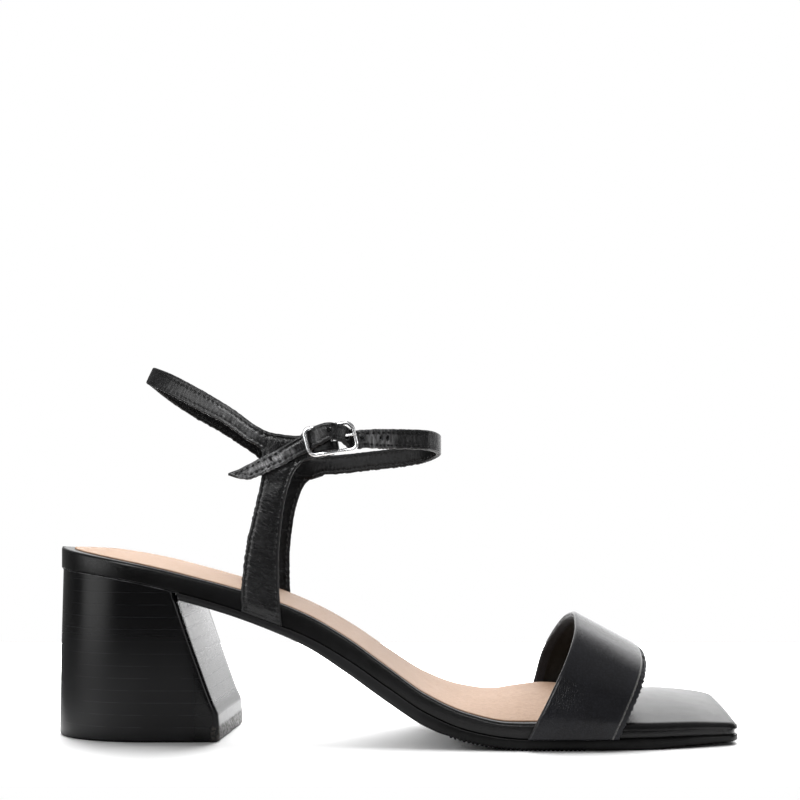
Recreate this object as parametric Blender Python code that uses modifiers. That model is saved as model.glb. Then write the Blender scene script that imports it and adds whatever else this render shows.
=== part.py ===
"""Block-heeled sandal for the right foot, modelled as separate solids.

Toe at +X, medial side at +Y, up at +Z. The origin is on the floor under the
middle of the shoe. Sizes below are in millimetres and meshes in metres.
"""
import math
from collections import namedtuple

import bmesh
import bpy
from mathutils import Vector

MM = 0.001
GAP = 0.3
WELD = 0.002

# Plan of the footbed: an elliptic heel and a square toe with rounded corners.
HEEL_BACK = -119.9
HEEL_ROUND = 34.0
TOE_TIP = 120.5
TOE_CORNER = {"lateral": 4.0, "medial": 8.0}

# Edge of the footbed: a rolled bead on top, cut back below it in front of the vamp.
EDGE_ROUND = 1.2
BEAD_HEIGHT = 2.2
BEAD_UNDERCUT = 0.5
TOE_RECESS = 0.7
RECESS_START, RECESS_FULL = 84.0, 96.0

SOCK_INSET = 3.0
SOCK_THICKNESS = 0.8
SOCK_FRONT = 72.0

OUTSOLE_LEDGE, TOE_LEDGE, LEDGE_FADE = 0.8, 0.3, 20.0
OUTSOLE_ROUND = 0.8

HEEL_TIP_HEIGHT = 5.0
HEEL_CORNER = 2.5
BREAST_SKEW = 4.0
OUTSOLE_START = -74.4

VAMP_WALL = 2.2
STRAP_WALL = 1.8

BUCKLE_CENTRE = (-21.4, -34.6, 105.7)
BUCKLE_TILT = math.radians(8.6)
BUCKLE_LENGTH = 17.4
BUCKLE_HEIGHT = 11.8
BUCKLE_CORNER = 2.6
BUCKLE_WIRE = 1.3
PRONG_WIRE = 0.9
PRONG_RING = (BUCKLE_WIRE + PRONG_WIRE) / 2 + GAP
PRONG_OVERHANG = 0.9
PRONG_HOLE_END = 7.0

# One section of sole and footbed across the foot: half widths to each side,
# the top edge of the footbed, its underside, the outsole's underside, the
# crown of the middle and the lift of the medial edge.
Section = namedtuple("Section", "x lateral medial top seat tread crown lift")
SOLE = [
    Section(-120, 27.0, 26.8, 66.9, 60.2, 57.0, 0.3, -0.2),
    Section(-108, 27.0, 26.8, 65.7, 59.1, 56.0, 0.3, -0.2),
    Section(-96, 27.0, 26.8, 63.7, 57.4, 54.4, 0.2, -0.2),
    Section(-84, 27.0, 26.6, 61.3, 55.0, 52.0, 0.2, -0.2),
    Section(-72, 27.0, 26.4, 58.4, 51.9, 49.1, 0.1, -0.3),
    Section(-58, 27.0, 26.2, 54.8, 47.9, 45.0, 0.0, -0.5),
    Section(-44, 27.1, 26.2, 50.6, 43.0, 39.9, 0.0, -0.7),
    Section(-30, 27.9, 26.6, 45.0, 37.6, 33.7, 0.0, -0.8),
    Section(-16, 30.2, 28.0, 37.2, 30.0, 25.0, 0.0, -0.8),
    Section(-2, 33.2, 30.5, 27.5, 20.7, 15.4, 0.0, -0.8),
    Section(12, 36.6, 34.0, 18.0, 11.9, 7.0, 0.2, -0.5),
    Section(26, 39.4, 37.4, 12.0, 6.5, 2.3, 0.8, 0.0),
    Section(40, 41.3, 40.0, 9.2, 4.2, 0.3, 1.9, 1.0),
    Section(46, 41.7, 40.8, 9.1, 3.9, 0.0, 2.4, 1.8),
    Section(60, 42.0, 41.6, 9.1, 3.7, 0.0, 2.7, 2.5),
    Section(86, 39.6, 39.8, 8.7, 3.8, 0.0, 2.6, 3.0),
    Section(102, 35.3, 36.3, 8.3, 3.8, 0.9, 2.0, 2.7),
    Section(121, 28.0, 30.5, 6.8, 3.4, 1.2, 0.6, 2.0),
]

# One level of the heel, from the tip (rise 0) to the seat (rise 1).
HeelLevel = namedtuple("HeelLevel", "rise back breast lateral medial")
HEEL = [
    HeelLevel(0.00, -120.6, -60.5, 24.5, 22.0),
    HeelLevel(0.10, -120.5, -60.9, 24.7, 22.5),
    HeelLevel(0.19, -120.4, -62.6, 24.9, 22.9),
    HeelLevel(0.46, -120.1, -67.1, 25.5, 24.2),
    HeelLevel(0.73, -119.7, -71.7, 26.1, 25.4),
    HeelLevel(1.00, -119.3, -76.2, 26.7, 26.4),
]

# One line of the vamp band from its back edge to its front edge. Reach runs
# from -1 at the lateral rim to +1 at the medial rim; heights are of the outer face.
VampLine = namedtuple("VampLine", "reach back back_z front front_z")
VAMP = [
    VampLine(-1.000, 46.0, 4.2, 77.0, 4.1),
    VampLine(-1.000, 49.6, 11.5, 79.4, 9.2),
    VampLine(-0.945, 55.6, 23.2, 83.4, 17.0),
    VampLine(-0.760, 61.2, 33.8, 87.4, 23.9),
    VampLine(-0.420, 64.9, 41.0, 90.0, 28.4),
    VampLine(0.040, 66.2, 43.9, 90.9, 30.6),
    VampLine(0.470, 65.0, 41.6, 90.5, 30.0),
    VampLine(0.790, 61.4, 34.4, 89.4, 26.2),
    VampLine(0.955, 57.2, 24.2, 87.2, 18.4),
    VampLine(1.000, 54.2, 12.5, 84.8, 10.0),
    VampLine(1.000, 51.2, 4.2, 83.0, 4.1),
]

# Middle line of the strap that starts behind the buckle, goes back over the
# lateral post, round the heel, over the medial post and forward round the instep.
# Tilt leans the top edge in towards the leg, in degrees.
StrapRow = namedtuple("StrapRow", "x y z width tilt", defaults=(0.0,))
QUARTER = [
    StrapRow(-20.2, -31.5, 103.9, 6.4),
    StrapRow(-27.0, -30.4, 103.2, 7.6),
    StrapRow(-33.5, -30.3, 103.2, 8.0),
    StrapRow(-39.5, -30.4, 104.0, 7.6),
    StrapRow(-46.0, -30.2, 106.6, 6.0),
    StrapRow(-58.0, -26.4, 114.9, 5.3, 3.0),
    StrapRow(-69.4, -19.6, 121.0, 5.8, 8.0),
    StrapRow(-81.2, -10.0, 127.0, 6.2, 18.0),
    StrapRow(-87.6, 0.0, 129.4, 6.6, 25.0),
    StrapRow(-82.6, 10.0, 124.6, 6.2, 18.0),
    StrapRow(-73.9, 18.4, 118.2, 6.2, 8.0),
    StrapRow(-63.7, 24.4, 112.0, 5.8, 3.0),
    StrapRow(-52.4, 28.4, 104.7, 6.2),
    StrapRow(-46.0, 29.4, 100.4, 7.2),
    StrapRow(-39.5, 29.8, 98.0, 7.8),
    StrapRow(-33.0, 29.6, 97.2, 7.8),
    StrapRow(-26.0, 28.0, 97.2, 7.4),
    StrapRow(-8.0, 19.4, 98.7, 7.2),
    StrapRow(4.0, 11.6, 100.1, 7.2),
    StrapRow(12.4, 4.4, 101.8, 7.2),
    StrapRow(16.6, -4.6, 104.2, 7.2),
    StrapRow(12.6, -14.0, 105.8, 7.2),
    StrapRow(4.0, -22.6, 106.1, 7.0),
    StrapRow(-4.0, -29.0, 106.1, 7.0),
]
LATERAL_POST_ROWS = (1, 4)
MEDIAL_POST_ROWS = (13, 16)

# Way of the strap through the buckle: under the front bar, over the middle
# bar and under the rear bar, with the distance from the buckle's plane.
PassRow = namedtuple("PassRow", "along out z width")
BUCKLE_PASS = [
    PassRow(11.6, -2.1, 106.4, 7.0),
    PassRow(8.2, -2.1, 106.4, 7.0),
    PassRow(4.0, 0.7, 106.8, 7.0),
    PassRow(0.0, 3.1, 107.5, 7.0),
    PassRow(-4.0, 0.7, 105.7, 6.6),
    PassRow(-8.2, -2.1, 104.4, 6.2),
    PassRow(-11.6, -2.1, 102.9, 5.8),
]
TAIL = [
    StrapRow(-38.4, -33.0, 99.8, 5.6),
    StrapRow(-44.8, -33.0, 96.7, 5.6),
    StrapRow(-49.4, -32.8, 94.6, 5.2),
    StrapRow(-53.0, -32.6, 93.9, 3.2),
    StrapRow(-56.7, -32.4, 93.8, 0.8),
]

# A level of either post, from the strap (drop 0) to the sole (drop 1), with its
# edges along the foot and how far it leans out from the rim.
PostLevel = namedtuple("PostLevel", "drop back front lean")
POST = [
    PostLevel(0.025, -45.2, -31.0, 2.2),
    PostLevel(0.065, -45.1, -33.4, 2.2),
    PostLevel(0.155, -45.1, -35.7, 2.1),
    PostLevel(0.340, -47.3, -38.0, 1.7),
    PostLevel(0.610, -50.8, -39.3, 1.0),
    PostLevel(0.780, -52.0, -39.2, 0.3),
    PostLevel(0.850, -52.4, -39.0, 0.0),
    PostLevel(1.000, -52.4, -38.4, 0.0),
]


def smooth(keys, values, at):
    """Read a monotone cubic through the values at one place."""
    steps = [b - a for a, b in zip(keys, keys[1:])]
    rates = [(b - a) / h for a, b, h in zip(values, values[1:], steps)]
    i = 0
    while i < len(steps) - 1 and at > keys[i + 1]:
        i += 1

    def slope(k):
        if k == 0 or k == len(rates):
            return rates[min(k, len(rates) - 1)]
        before, after = rates[k - 1], rates[k]
        if before * after <= 0:
            return 0.0
        near = 2 * steps[k] + steps[k - 1]
        far = steps[k] + 2 * steps[k - 1]
        return (near + far) / (near / before + far / after)

    t = (at - keys[i]) / steps[i]
    rest = 1 - t
    start = values[i] * (1 + 2 * t) + steps[i] * slope(i) * t
    end = values[i + 1] * (3 - 2 * t) - steps[i] * slope(i + 1) * rest
    return start * rest * rest + end * t * t


def sole(column, x):
    """One column of the sole's sections at any place along the foot."""
    return smooth([row.x for row in SOLE], [getattr(row, column) for row in SOLE], x)


def refine(rows, per_span):
    """Insert even steps between a table's rows, by the distance between their points."""
    places = [Vector((row.x, row.y, row.z)) for row in rows]
    keys = [0.0]
    for a, b in zip(places, places[1:]):
        keys.append(keys[-1] + (b - a).length)
    fine = []
    for i in range(len(rows) - 1):
        for step in range(per_span):
            at = keys[i] + (keys[i + 1] - keys[i]) * step / per_span
            fine.append(StrapRow(*(smooth(keys, column, at) for column in zip(*rows))))
    fine.append(rows[-1])
    return fine


def half_width(x, side):
    """Plan half width of the footbed on one side."""
    wide = sole(side, x)
    from_heel = max(x - HEEL_BACK, 0.0) / HEEL_ROUND
    if from_heel < 1:
        wide *= math.sqrt(1 - (1 - from_heel) ** 2)
    corner = TOE_CORNER[side]
    from_tip = max(TOE_TIP - x, 0.0) / corner
    if from_tip < 1:
        wide -= corner * (1 - math.sqrt(1 - (1 - from_tip) ** 2))
    return wide


def bed(x, y):
    """Height of the footbed's top, crowned across and lifted to the medial side."""
    lateral, medial = half_width(x, "lateral"), half_width(x, "medial")
    across = (y + lateral) / max(lateral + medial, 0.001)
    return sole("top", x) + sole("lift", x) * across + sole("crown", x) * 4 * across * (1 - across)


def stations(start, end, count):
    """Places along the foot, close together on the round heel and at the toe corners."""
    places = [start + (end - start) * i / count for i in range(count + 1)]
    if start < HEEL_BACK + HEEL_ROUND:
        arc = HEEL_BACK + HEEL_ROUND - start
        turns = [i * math.pi / 16 for i in range(8)]
        round_heel = [start + arc * (1 - math.cos(turn)) for turn in turns]
        places = round_heel + [x for x in places if x > start + arc - 1]
    corner = max(TOE_CORNER.values())
    if end > TOE_TIP - corner:
        turns = [i * math.pi / 10 for i in range(6)]
        round_toe = [end - corner + corner * math.sin(turn) for turn in turns]
        places = [x for x in places if x < end - corner - 1] + round_toe
    return places


def finish_material(name, colour, roughness, metallic=0.0):
    material = bpy.data.materials.new(name)
    material.use_nodes = True
    shader = material.node_tree.nodes["Principled BSDF"]
    shader.inputs["Base Color"].default_value = (*colour, 1.0)
    shader.inputs["Roughness"].default_value = roughness
    shader.inputs["Metallic"].default_value = metallic
    return material


def add_part(name, mesh, material):
    """Place a mesh in the sandal's collection under its empty."""
    part = bpy.data.objects.new(name, mesh)
    part.data.materials.append(material)
    mesh.shade_smooth()
    mesh.set_sharp_from_angle(angle=math.radians(35))
    SANDAL.objects.link(part)
    part.parent = ROOT
    return part


def mesh_from(name, form):
    """Close up a bmesh made in millimetres and return it as a mesh in metres."""
    bmesh.ops.remove_doubles(form, verts=form.verts, dist=WELD)
    bmesh.ops.recalc_face_normals(form, faces=form.faces)
    bmesh.ops.scale(form, vec=(MM, MM, MM), verts=form.verts)
    mesh = bpy.data.meshes.new(name)
    form.to_mesh(mesh)
    form.free()
    return mesh


def skin(name, rings, material, caps=(True, True)):
    """Loft closed rings of points into a solid with flat ends."""
    form = bmesh.new()
    rows = [[form.verts.new(point) for point in ring] for ring in rings]
    count = len(rows[0])
    for low, high in zip(rows, rows[1:]):
        for i in range(count):
            j = (i + 1) % count
            form.faces.new((low[i], low[j], high[j], high[i]))
    if caps[0]:
        form.faces.new(rows[0])
    if caps[1]:
        form.faces.new(rows[-1])
    return add_part(name, mesh_from(name, form), material)


def make_footbed():
    """Wrapped footbed: an even board from heel to toe with a rolled top edge."""
    rings = []
    along, across = 40, 8
    for x in stations(HEEL_BACK, TOE_TIP, along):
        lateral, medial = half_width(x, "lateral"), half_width(x, "medial")
        soft = min(EDGE_ROUND, lateral / 2)
        quarter_round = 1 - math.sqrt(0.5)
        cut = (x - RECESS_START) / (RECESS_FULL - RECESS_START)
        recess = TOE_RECESS * min(max(cut, 0.0), 1.0)
        ring = []
        for side, wide in ((-1, lateral), (1, medial)):
            edge = bed(x, side * wide)
            profile = [
                (wide - recess, sole("seat", x)),
                (wide - recess, edge - BEAD_HEIGHT),
                (wide, edge - BEAD_HEIGHT + BEAD_UNDERCUT),
                (wide, edge - soft),
                (wide - soft * quarter_round, edge - soft * quarter_round),
            ]
            points = [(x, side * y, z) for y, z in profile]
            if side < 0:
                ring += points
                left, right = -(lateral - soft), medial - soft
                for i in range(across + 1):
                    y = left + (right - left) * i / across
                    ring.append((x, y, bed(x, y)))
            else:
                ring += points[::-1]
        rings.append(ring)
    return skin("footbed", rings, FOOTBED_LEATHER, caps=(False, True))


def make_insole_sock():
    """Leather sock glued on the footbed, from the heel to under the vamp."""
    rings = []
    along, across = 32, 8
    start = HEEL_BACK + SOCK_INSET
    for x in stations(start, SOCK_FRONT, along):
        inside = (x - start) / HEEL_ROUND
        close = math.sqrt(1 - (1 - inside) ** 2) if inside < 1 else 1.0
        left = -(sole("lateral", x) - SOCK_INSET) * close
        right = (sole("medial", x) - SOCK_INSET) * close
        low = [left + (right - left) * i / across for i in range(across + 1)]
        ring = [(x, y, bed(x, y) + GAP) for y in low]
        ring += [(x, y, bed(x, y) + GAP + SOCK_THICKNESS) for y in reversed(low)]
        rings.append(ring)
    return skin("insole_sock", rings, SOCK_LEATHER, caps=(False, True))


def make_outsole():
    """Thin outsole from the heel breast to the toe, with a ledge past the rim."""
    rings = []
    fade_length = 30.0
    along = 36
    for x in stations(OUTSOLE_START, TOE_TIP, along):
        fade = max(1 - (x - OUTSOLE_START) / fade_length, 0.0)
        ledge = TOE_LEDGE + (OUTSOLE_LEDGE - TOE_LEDGE) * min((TOE_TIP - x) / LEDGE_FADE, 1.0)
        lateral = half_width(x, "lateral") + ledge
        medial = half_width(x, "medial") + ledge
        soft = OUTSOLE_ROUND

        def point(y, column, rise):
            turned = x + BREAST_SKEW * fade * (y + lateral) / (lateral + medial)
            return (turned, y, sole(column, turned) + rise)

        rings.append([
            point(-lateral, "seat", -GAP),
            point(-lateral, "tread", soft),
            point(-lateral + soft, "tread", 0.0),
            point(medial - soft, "tread", 0.0),
            point(medial, "tread", soft),
            point(medial, "seat", -GAP),
        ])
    return skin("outsole", rings, SOLE_RUBBER)


def heel_outline(level, skew):
    """Half rings of one heel level, from the back round to the breast, on both sides."""
    arc_steps = 7
    corner_steps = 2
    halves = []
    for side, wide, breast in ((-1, level.lateral, level.breast), (1, level.medial, level.breast + skew)):
        half = []
        for i in range(arc_steps + 1):
            turn = math.pi / 2 * i / arc_steps
            half.append((level.back + HEEL_ROUND * (1 - math.cos(turn)), side * wide * math.sin(turn)))
        for i in range(corner_steps + 1):
            turn = math.pi / 2 * i / corner_steps
            half.append((breast - HEEL_CORNER * (1 - math.sin(turn)),
                         side * (wide - HEEL_CORNER * (1 - math.cos(turn)))))
        halves.append(half)
    return halves


def make_heel(name, levels, height, material):
    """Stack heel levels into a solid; height gives a point's height from its rise and x."""
    form = bmesh.new()
    rings = []
    for level in levels:
        lateral, medial = heel_outline(level, BREAST_SKEW)
        rings.append([[form.verts.new((x, y, height(level.rise, x))) for x, y in half]
                      for half in (lateral, medial)])
    steps = range(len(rings[0][0]) - 1)
    for low, high in zip(rings, rings[1:]):
        for side in (0, 1):
            for i in steps:
                form.faces.new((low[side][i], low[side][i + 1], high[side][i + 1], high[side][i]))
        form.faces.new((low[0][-1], low[1][-1], high[1][-1], high[0][-1]))
    for ring in (rings[0], rings[-1]):
        for i in steps:
            form.faces.new((ring[0][i], ring[0][i + 1], ring[1][i + 1], ring[1][i]))
    return add_part(name, mesh_from(name, form), material)


def make_heel_block():
    base = HEEL_TIP_HEIGHT + GAP

    def height(rise, x):
        return base + rise * (sole("seat", x) - GAP - base)

    return make_heel("heel_block", HEEL, height, HEEL_STACK)


def make_heel_tip():
    foot = HEEL[0]
    return make_heel("heel_tip", [foot, foot._replace(rise=1.0)],
                     lambda rise, x: rise * HEEL_TIP_HEIGHT, SOLE_RUBBER)


def make_vamp():
    """Band over the toes, standing outside the rim on both sides."""
    lines = len(VAMP)
    per_span = 4
    along = 3
    beyond = GAP + VAMP_WALL
    keys = list(range(lines))
    columns = list(zip(*VAMP))
    outer = []
    for step in range((lines - 1) * per_span + 1):
        row = VampLine(*(smooth(keys, column, step / per_span) for column in columns))
        side = "lateral" if row.reach < 0 else "medial"
        line = []
        for i in range(along + 1):
            x = row.back + (row.front - row.back) * i / along
            z = row.back_z + (row.front_z - row.back_z) * i / along
            line.append(Vector((x, row.reach * (half_width(x, side) + beyond), z)))
        outer.append(line)
    rings = []
    last = len(outer) - 1
    for step, line in enumerate(outer):
        before, after = outer[max(step - 1, 0)], outer[min(step + 1, last)]
        inner = []
        for i, point in enumerate(line):
            length = line[min(i + 1, along)] - line[max(i - 1, 0)]
            normal = (after[i] - before[i]).cross(length).normalized()
            inner.append(point + VAMP_WALL * normal)
        rings.append(line + inner[::-1])
    return skin("vamp_strap", rings, UPPER_LEATHER)


def strap_rows():
    """The whole strap, with its way through the buckle put in from the buckle's place."""
    x, y, z = BUCKLE_CENTRE
    passing = [StrapRow(x + row.along * math.cos(BUCKLE_TILT), y - row.out, row.z, row.width)
               for row in BUCKLE_PASS]
    return QUARTER + passing + TAIL


def make_quarter():
    """Posts, heel strap and ankle strap as one sheet of leather, then its wall."""
    per_span = 3
    fine = refine(strap_rows(), per_span)
    last = len(fine) - 1
    form = bmesh.new()
    columns = []
    for i, row in enumerate(fine):
        a, b = fine[max(i - 1, 0)], fine[min(i + 1, last)]
        way = Vector((b.x - a.x, b.y - a.y, b.z - a.z)).normalized()
        inward = Vector((way.y, -way.x, 0)).normalized()
        lean = math.radians(row.tilt)
        up = inward.cross(way) * math.cos(lean) + inward * math.sin(lean)
        middle = Vector((row.x, row.y, row.z))
        columns.append([form.verts.new(middle + up * row.width * side) for side in (-0.5, 0, 0.5)])
    for here, there in zip(columns, columns[1:]):
        for k in (0, 1):
            form.faces.new((here[k], there[k], there[k + 1], here[k + 1]))
    for side, span in (("lateral", LATERAL_POST_ROWS), ("medial", MEDIAL_POST_ROWS)):
        top = [column[0] for column in columns[span[0] * per_span:span[1] * per_span + 1]]
        if top[0].co.x > top[-1].co.x:
            top.reverse()
        add_post(form, top, side)
    mesh = mesh_from("quarter_strap", form)
    part = add_part("quarter_strap", mesh, UPPER_LEATHER)
    wall = part.modifiers.new("wall", "SOLIDIFY")
    wall.thickness = STRAP_WALL * MM
    wall.offset = 0.0
    wall.use_even_offset = True
    cut = part.modifiers.new("prong_hole", "BOOLEAN")
    cut.operation = "DIFFERENCE"
    cut.object = make_prong_cutter()
    return part


def add_post(form, top, side):
    """Hang one post from a stretch of the strap's lower edge down to the sole."""
    sign = -1 if side == "lateral" else 1
    drops = [level.drop for level in POST]
    halves = [(a + b) / 2 for a, b in zip(drops, drops[1:])]
    last = len(top) - 1
    above = top
    for drop in sorted(drops + halves):
        level = PostLevel(*(smooth(drops, column, drop) for column in zip(*POST)))
        row = []
        for k, start in enumerate(top):
            x = level.back + (level.front - level.back) * k / last
            rim = half_width(x, side) + GAP + STRAP_WALL / 2 + level.lean
            z = start.co.z + drop * (sole("seat", x) - start.co.z)
            row.append(form.verts.new((x, sign * rim, z)))
        for k in range(last):
            form.faces.new((above[k], above[k + 1], row[k + 1], row[k]))
        above = row


def place_on_buckle(part):
    """Turn a piece from the buckle's own plane to its place on the lateral side."""
    part.location = [size * MM for size in BUCKLE_CENTRE]
    part.rotation_euler = (math.pi / 2, -BUCKLE_TILT, 0)


def wire(name, points, diameter, closed):
    """A bent wire as a mesh, from points in millimetres."""
    curve = bpy.data.curves.new(name, "CURVE")
    curve.dimensions = "3D"
    curve.bevel_depth = diameter / 2 * MM
    curve.bevel_resolution = 2
    curve.use_fill_caps = True
    spline = curve.splines.new("POLY")
    spline.points.add(len(points) - 1)
    for place, point in zip(spline.points, points):
        place.co = (*(size * MM for size in point), 1)
    spline.use_cyclic_u = closed
    guide = bpy.data.objects.new(name, curve)
    SANDAL.objects.link(guide)
    bpy.context.view_layer.update()
    mesh = bpy.data.meshes.new_from_object(guide.evaluated_get(bpy.context.evaluated_depsgraph_get()))
    bpy.data.objects.remove(guide)
    form = bmesh.new()
    form.from_mesh(mesh)
    bmesh.ops.remove_doubles(form, verts=form.verts, dist=WELD * MM)
    bmesh.ops.recalc_face_normals(form, faces=form.faces)
    form.to_mesh(mesh)
    form.free()
    mesh.materials.clear()
    return mesh


def make_buckle_frame():
    """Rounded wire frame with a middle bar joined into its rails."""
    half_x = (BUCKLE_LENGTH - BUCKLE_WIRE) / 2
    half_y = (BUCKLE_HEIGHT - BUCKLE_WIRE) / 2
    corner_steps = 4
    loop = []
    for quarter, (sx, sy) in enumerate(((1, 1), (-1, 1), (-1, -1), (1, -1))):
        for i in range(corner_steps + 1):
            turn = math.pi / 2 * (quarter + i / corner_steps)
            loop.append((sx * (half_x - BUCKLE_CORNER) + BUCKLE_CORNER * math.cos(turn),
                         sy * (half_y - BUCKLE_CORNER) + BUCKLE_CORNER * math.sin(turn), 0))
    frame = add_part("buckle_frame", wire("buckle_frame", loop, BUCKLE_WIRE, True), BUCKLE_STEEL)
    bar_mesh = wire("middle_bar", [(0, -half_y, 0), (0, half_y, 0)], BUCKLE_WIRE, False)
    bar = add_cutter("middle_bar", bar_mesh)
    place_on_buckle(frame)
    place_on_buckle(bar)
    join = frame.modifiers.new("middle_bar", "BOOLEAN")
    join.operation = "UNION"
    join.object = bar
    return frame


def make_buckle_prong():
    """Prong bent round the middle bar, through the strap and onto the front bar."""
    loop = []
    loop_steps = 9
    first, turn_all = math.radians(-40), math.radians(-225)
    for i in range(loop_steps + 1):
        turn = first + turn_all * i / loop_steps
        loop.append((PRONG_RING * math.cos(turn), 0, PRONG_RING * math.sin(turn)))
    tip = (BUCKLE_LENGTH - BUCKLE_WIRE) / 2 + PRONG_OVERHANG
    points = loop + [(PRONG_RING / 2, 0, PRONG_RING), (tip, 0, PRONG_RING)]
    prong = add_part("buckle_prong", wire("buckle_prong", points, PRONG_WIRE, False), BUCKLE_STEEL)
    place_on_buckle(prong)
    return prong


def add_cutter(name, mesh):
    cutter = bpy.data.objects.new(name, mesh)
    cutter.hide_render = True
    cutter.display_type = "WIRE"
    CUTTERS.objects.link(cutter)
    return cutter


def make_prong_cutter():
    """Hole where the prong comes out through the strap."""
    clear = PRONG_WIRE + 2 * GAP
    mesh = wire("prong_hole", [(0, 0, PRONG_RING), (PRONG_HOLE_END, 0, PRONG_RING)], clear, False)
    cutter = add_cutter("prong_hole", mesh)
    place_on_buckle(cutter)
    return cutter


for old in list(bpy.data.objects):
    bpy.data.objects.remove(old)
SANDAL = bpy.data.collections.new("heeled_sandal")
CUTTERS = bpy.data.collections.new("cutters")
for collection in (SANDAL, CUTTERS):
    bpy.context.scene.collection.children.link(collection)
ROOT = bpy.data.objects.new("sandal_origin", None)
SANDAL.objects.link(ROOT)

UPPER_LEATHER = finish_material("upper_leather", (0.014, 0.014, 0.016), 0.38)
FOOTBED_LEATHER = finish_material("footbed_leather", (0.016, 0.016, 0.017), 0.42)
SOCK_LEATHER = finish_material("sock_leather", (0.72, 0.50, 0.36), 0.62)
HEEL_STACK = finish_material("heel_stack", (0.012, 0.012, 0.013), 0.35)
SOLE_RUBBER = finish_material("sole_rubber", (0.013, 0.013, 0.013), 0.60)
BUCKLE_STEEL = finish_material("buckle_steel", (0.80, 0.80, 0.82), 0.12, 1.0)

make_outsole()
make_footbed()
make_insole_sock()
make_heel_block()
make_heel_tip()
make_vamp()
make_quarter()
make_buckle_frame()
make_buckle_prong()
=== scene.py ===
"""Block-heeled sandal for the right foot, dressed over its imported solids.

Toe at +X, medial side at +Y, up at +Z. Sizes are in millimetres, meshes in metres.
"""
import math
from collections import namedtuple

import bmesh
import bpy
import numpy as np
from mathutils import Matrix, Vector, kdtree


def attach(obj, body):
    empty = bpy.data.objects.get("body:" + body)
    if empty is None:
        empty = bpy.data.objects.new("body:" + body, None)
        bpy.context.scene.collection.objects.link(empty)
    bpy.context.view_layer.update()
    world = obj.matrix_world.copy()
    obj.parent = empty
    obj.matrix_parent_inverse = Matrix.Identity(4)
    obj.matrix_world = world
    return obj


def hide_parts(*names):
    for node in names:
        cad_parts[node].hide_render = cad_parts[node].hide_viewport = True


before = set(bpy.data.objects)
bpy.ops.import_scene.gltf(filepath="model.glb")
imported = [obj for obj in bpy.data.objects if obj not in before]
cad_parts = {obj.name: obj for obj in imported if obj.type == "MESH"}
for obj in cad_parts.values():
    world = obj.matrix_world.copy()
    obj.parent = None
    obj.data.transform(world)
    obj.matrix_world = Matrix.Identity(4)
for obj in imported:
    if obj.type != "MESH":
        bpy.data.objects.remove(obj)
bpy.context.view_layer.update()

# Studio: a pale floor that runs out to white, a bright white sweep behind and
# above, and a dim room on the camera's side, so that black leather stays black.
# The camera looks level at the outer side from 0.62 m.
MM = 0.001
LENS_PIXELS, PICTURE_PIXELS, SENSOR = 1705, 800, 36.0
HORIZON_SHIFT = 0.0875
CAMERA_PLACE = (2.65, -620.0, 95.3)
ROOM_LIGHT, SWEEP_LIGHT, TOP_LIGHT = 0.2, 1.5, 0.3
SWEEP_BACK, SWEEP_RIGHT, TOP_UP = (0.56, 0.74), (-0.4, 0.0), (0.5, 0.95)

# A box of light in the room, seen only in the gloss: the way it lies, its brightness
# and the cosines where it fades in and is full.
LightBox = namedtuple("LightBox", "way glow fade full")
LIGHT_BOXES = [
    LightBox((-0.89, -0.43, 0.15), 3.2, 0.88, 0.98),
    LightBox((-0.34, -0.78, 0.52), 12.0, 0.93, 0.985),
    LightBox((0.87, -0.48, 0.12), 3.5, 0.975, 0.995),
]
SHEET = [(-125, -105), (130, -105), (240, 320), (-235, 320)]

# A soft light on the sheet: its place, its size and the place it faces, with its
# power in watts.
SoftLight = namedtuple("SoftLight", "name place size facing power")
SOFT_LIGHTS = [
    SoftLight("top_light", (0, 380, 1300), (1400, 800), (0, 0, 0), 24.0),
    SoftLight("low_back_light", (-20, 520, 230), (900, 260), (-20, 0, 0), 18.5),
]


class Shade:
    """A node socket that Python's operators work on, adding the nodes they need."""

    def __init__(self, tree, socket=None):
        self.tree = tree
        self.socket = socket

    def feed(self, socket, value):
        if isinstance(value, Shade):
            self.tree.links.new(value.socket, socket)
        else:
            socket.default_value = value

    def node(self, kind, settings=None, inputs=None, output=0):
        made = self.tree.nodes.new(kind)
        for key, value in (settings or {}).items():
            setattr(made, key, value)
        for key, value in (inputs or {}).items():
            self.feed(made.inputs[key], value)
        return Shade(self.tree, made.outputs[output])

    def maths(self, operation, *values):
        return self.node("ShaderNodeMath", {"operation": operation}, dict(enumerate(values)))

    def __add__(self, other):
        return self.maths("ADD", self, other)

    def __sub__(self, other):
        return self.maths("SUBTRACT", self, other)

    def __rsub__(self, other):
        return self.maths("SUBTRACT", other, self)

    def __mul__(self, other):
        return self.maths("MULTIPLY", self, other)

    def __truediv__(self, other):
        return self.maths("DIVIDE", self, other)

    __radd__ = __add__
    __rmul__ = __mul__

    def between(self, low, high):
        """Rise smoothly from 0 at low to 1 at high."""
        limits = {"Value": self, "From Min": low, "From Max": high}
        return self.node("ShaderNodeMapRange", {"interpolation_type": "SMOOTHSTEP"}, limits)

    def blend(self, first, second):
        """Mix two colours by this value."""
        first, second = ((*c, 1.0) if isinstance(c, tuple) else c for c in (first, second))
        return self.node("ShaderNodeMix", {"data_type": "RGBA"}, {0: self, 6: first, 7: second}, 2)


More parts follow.
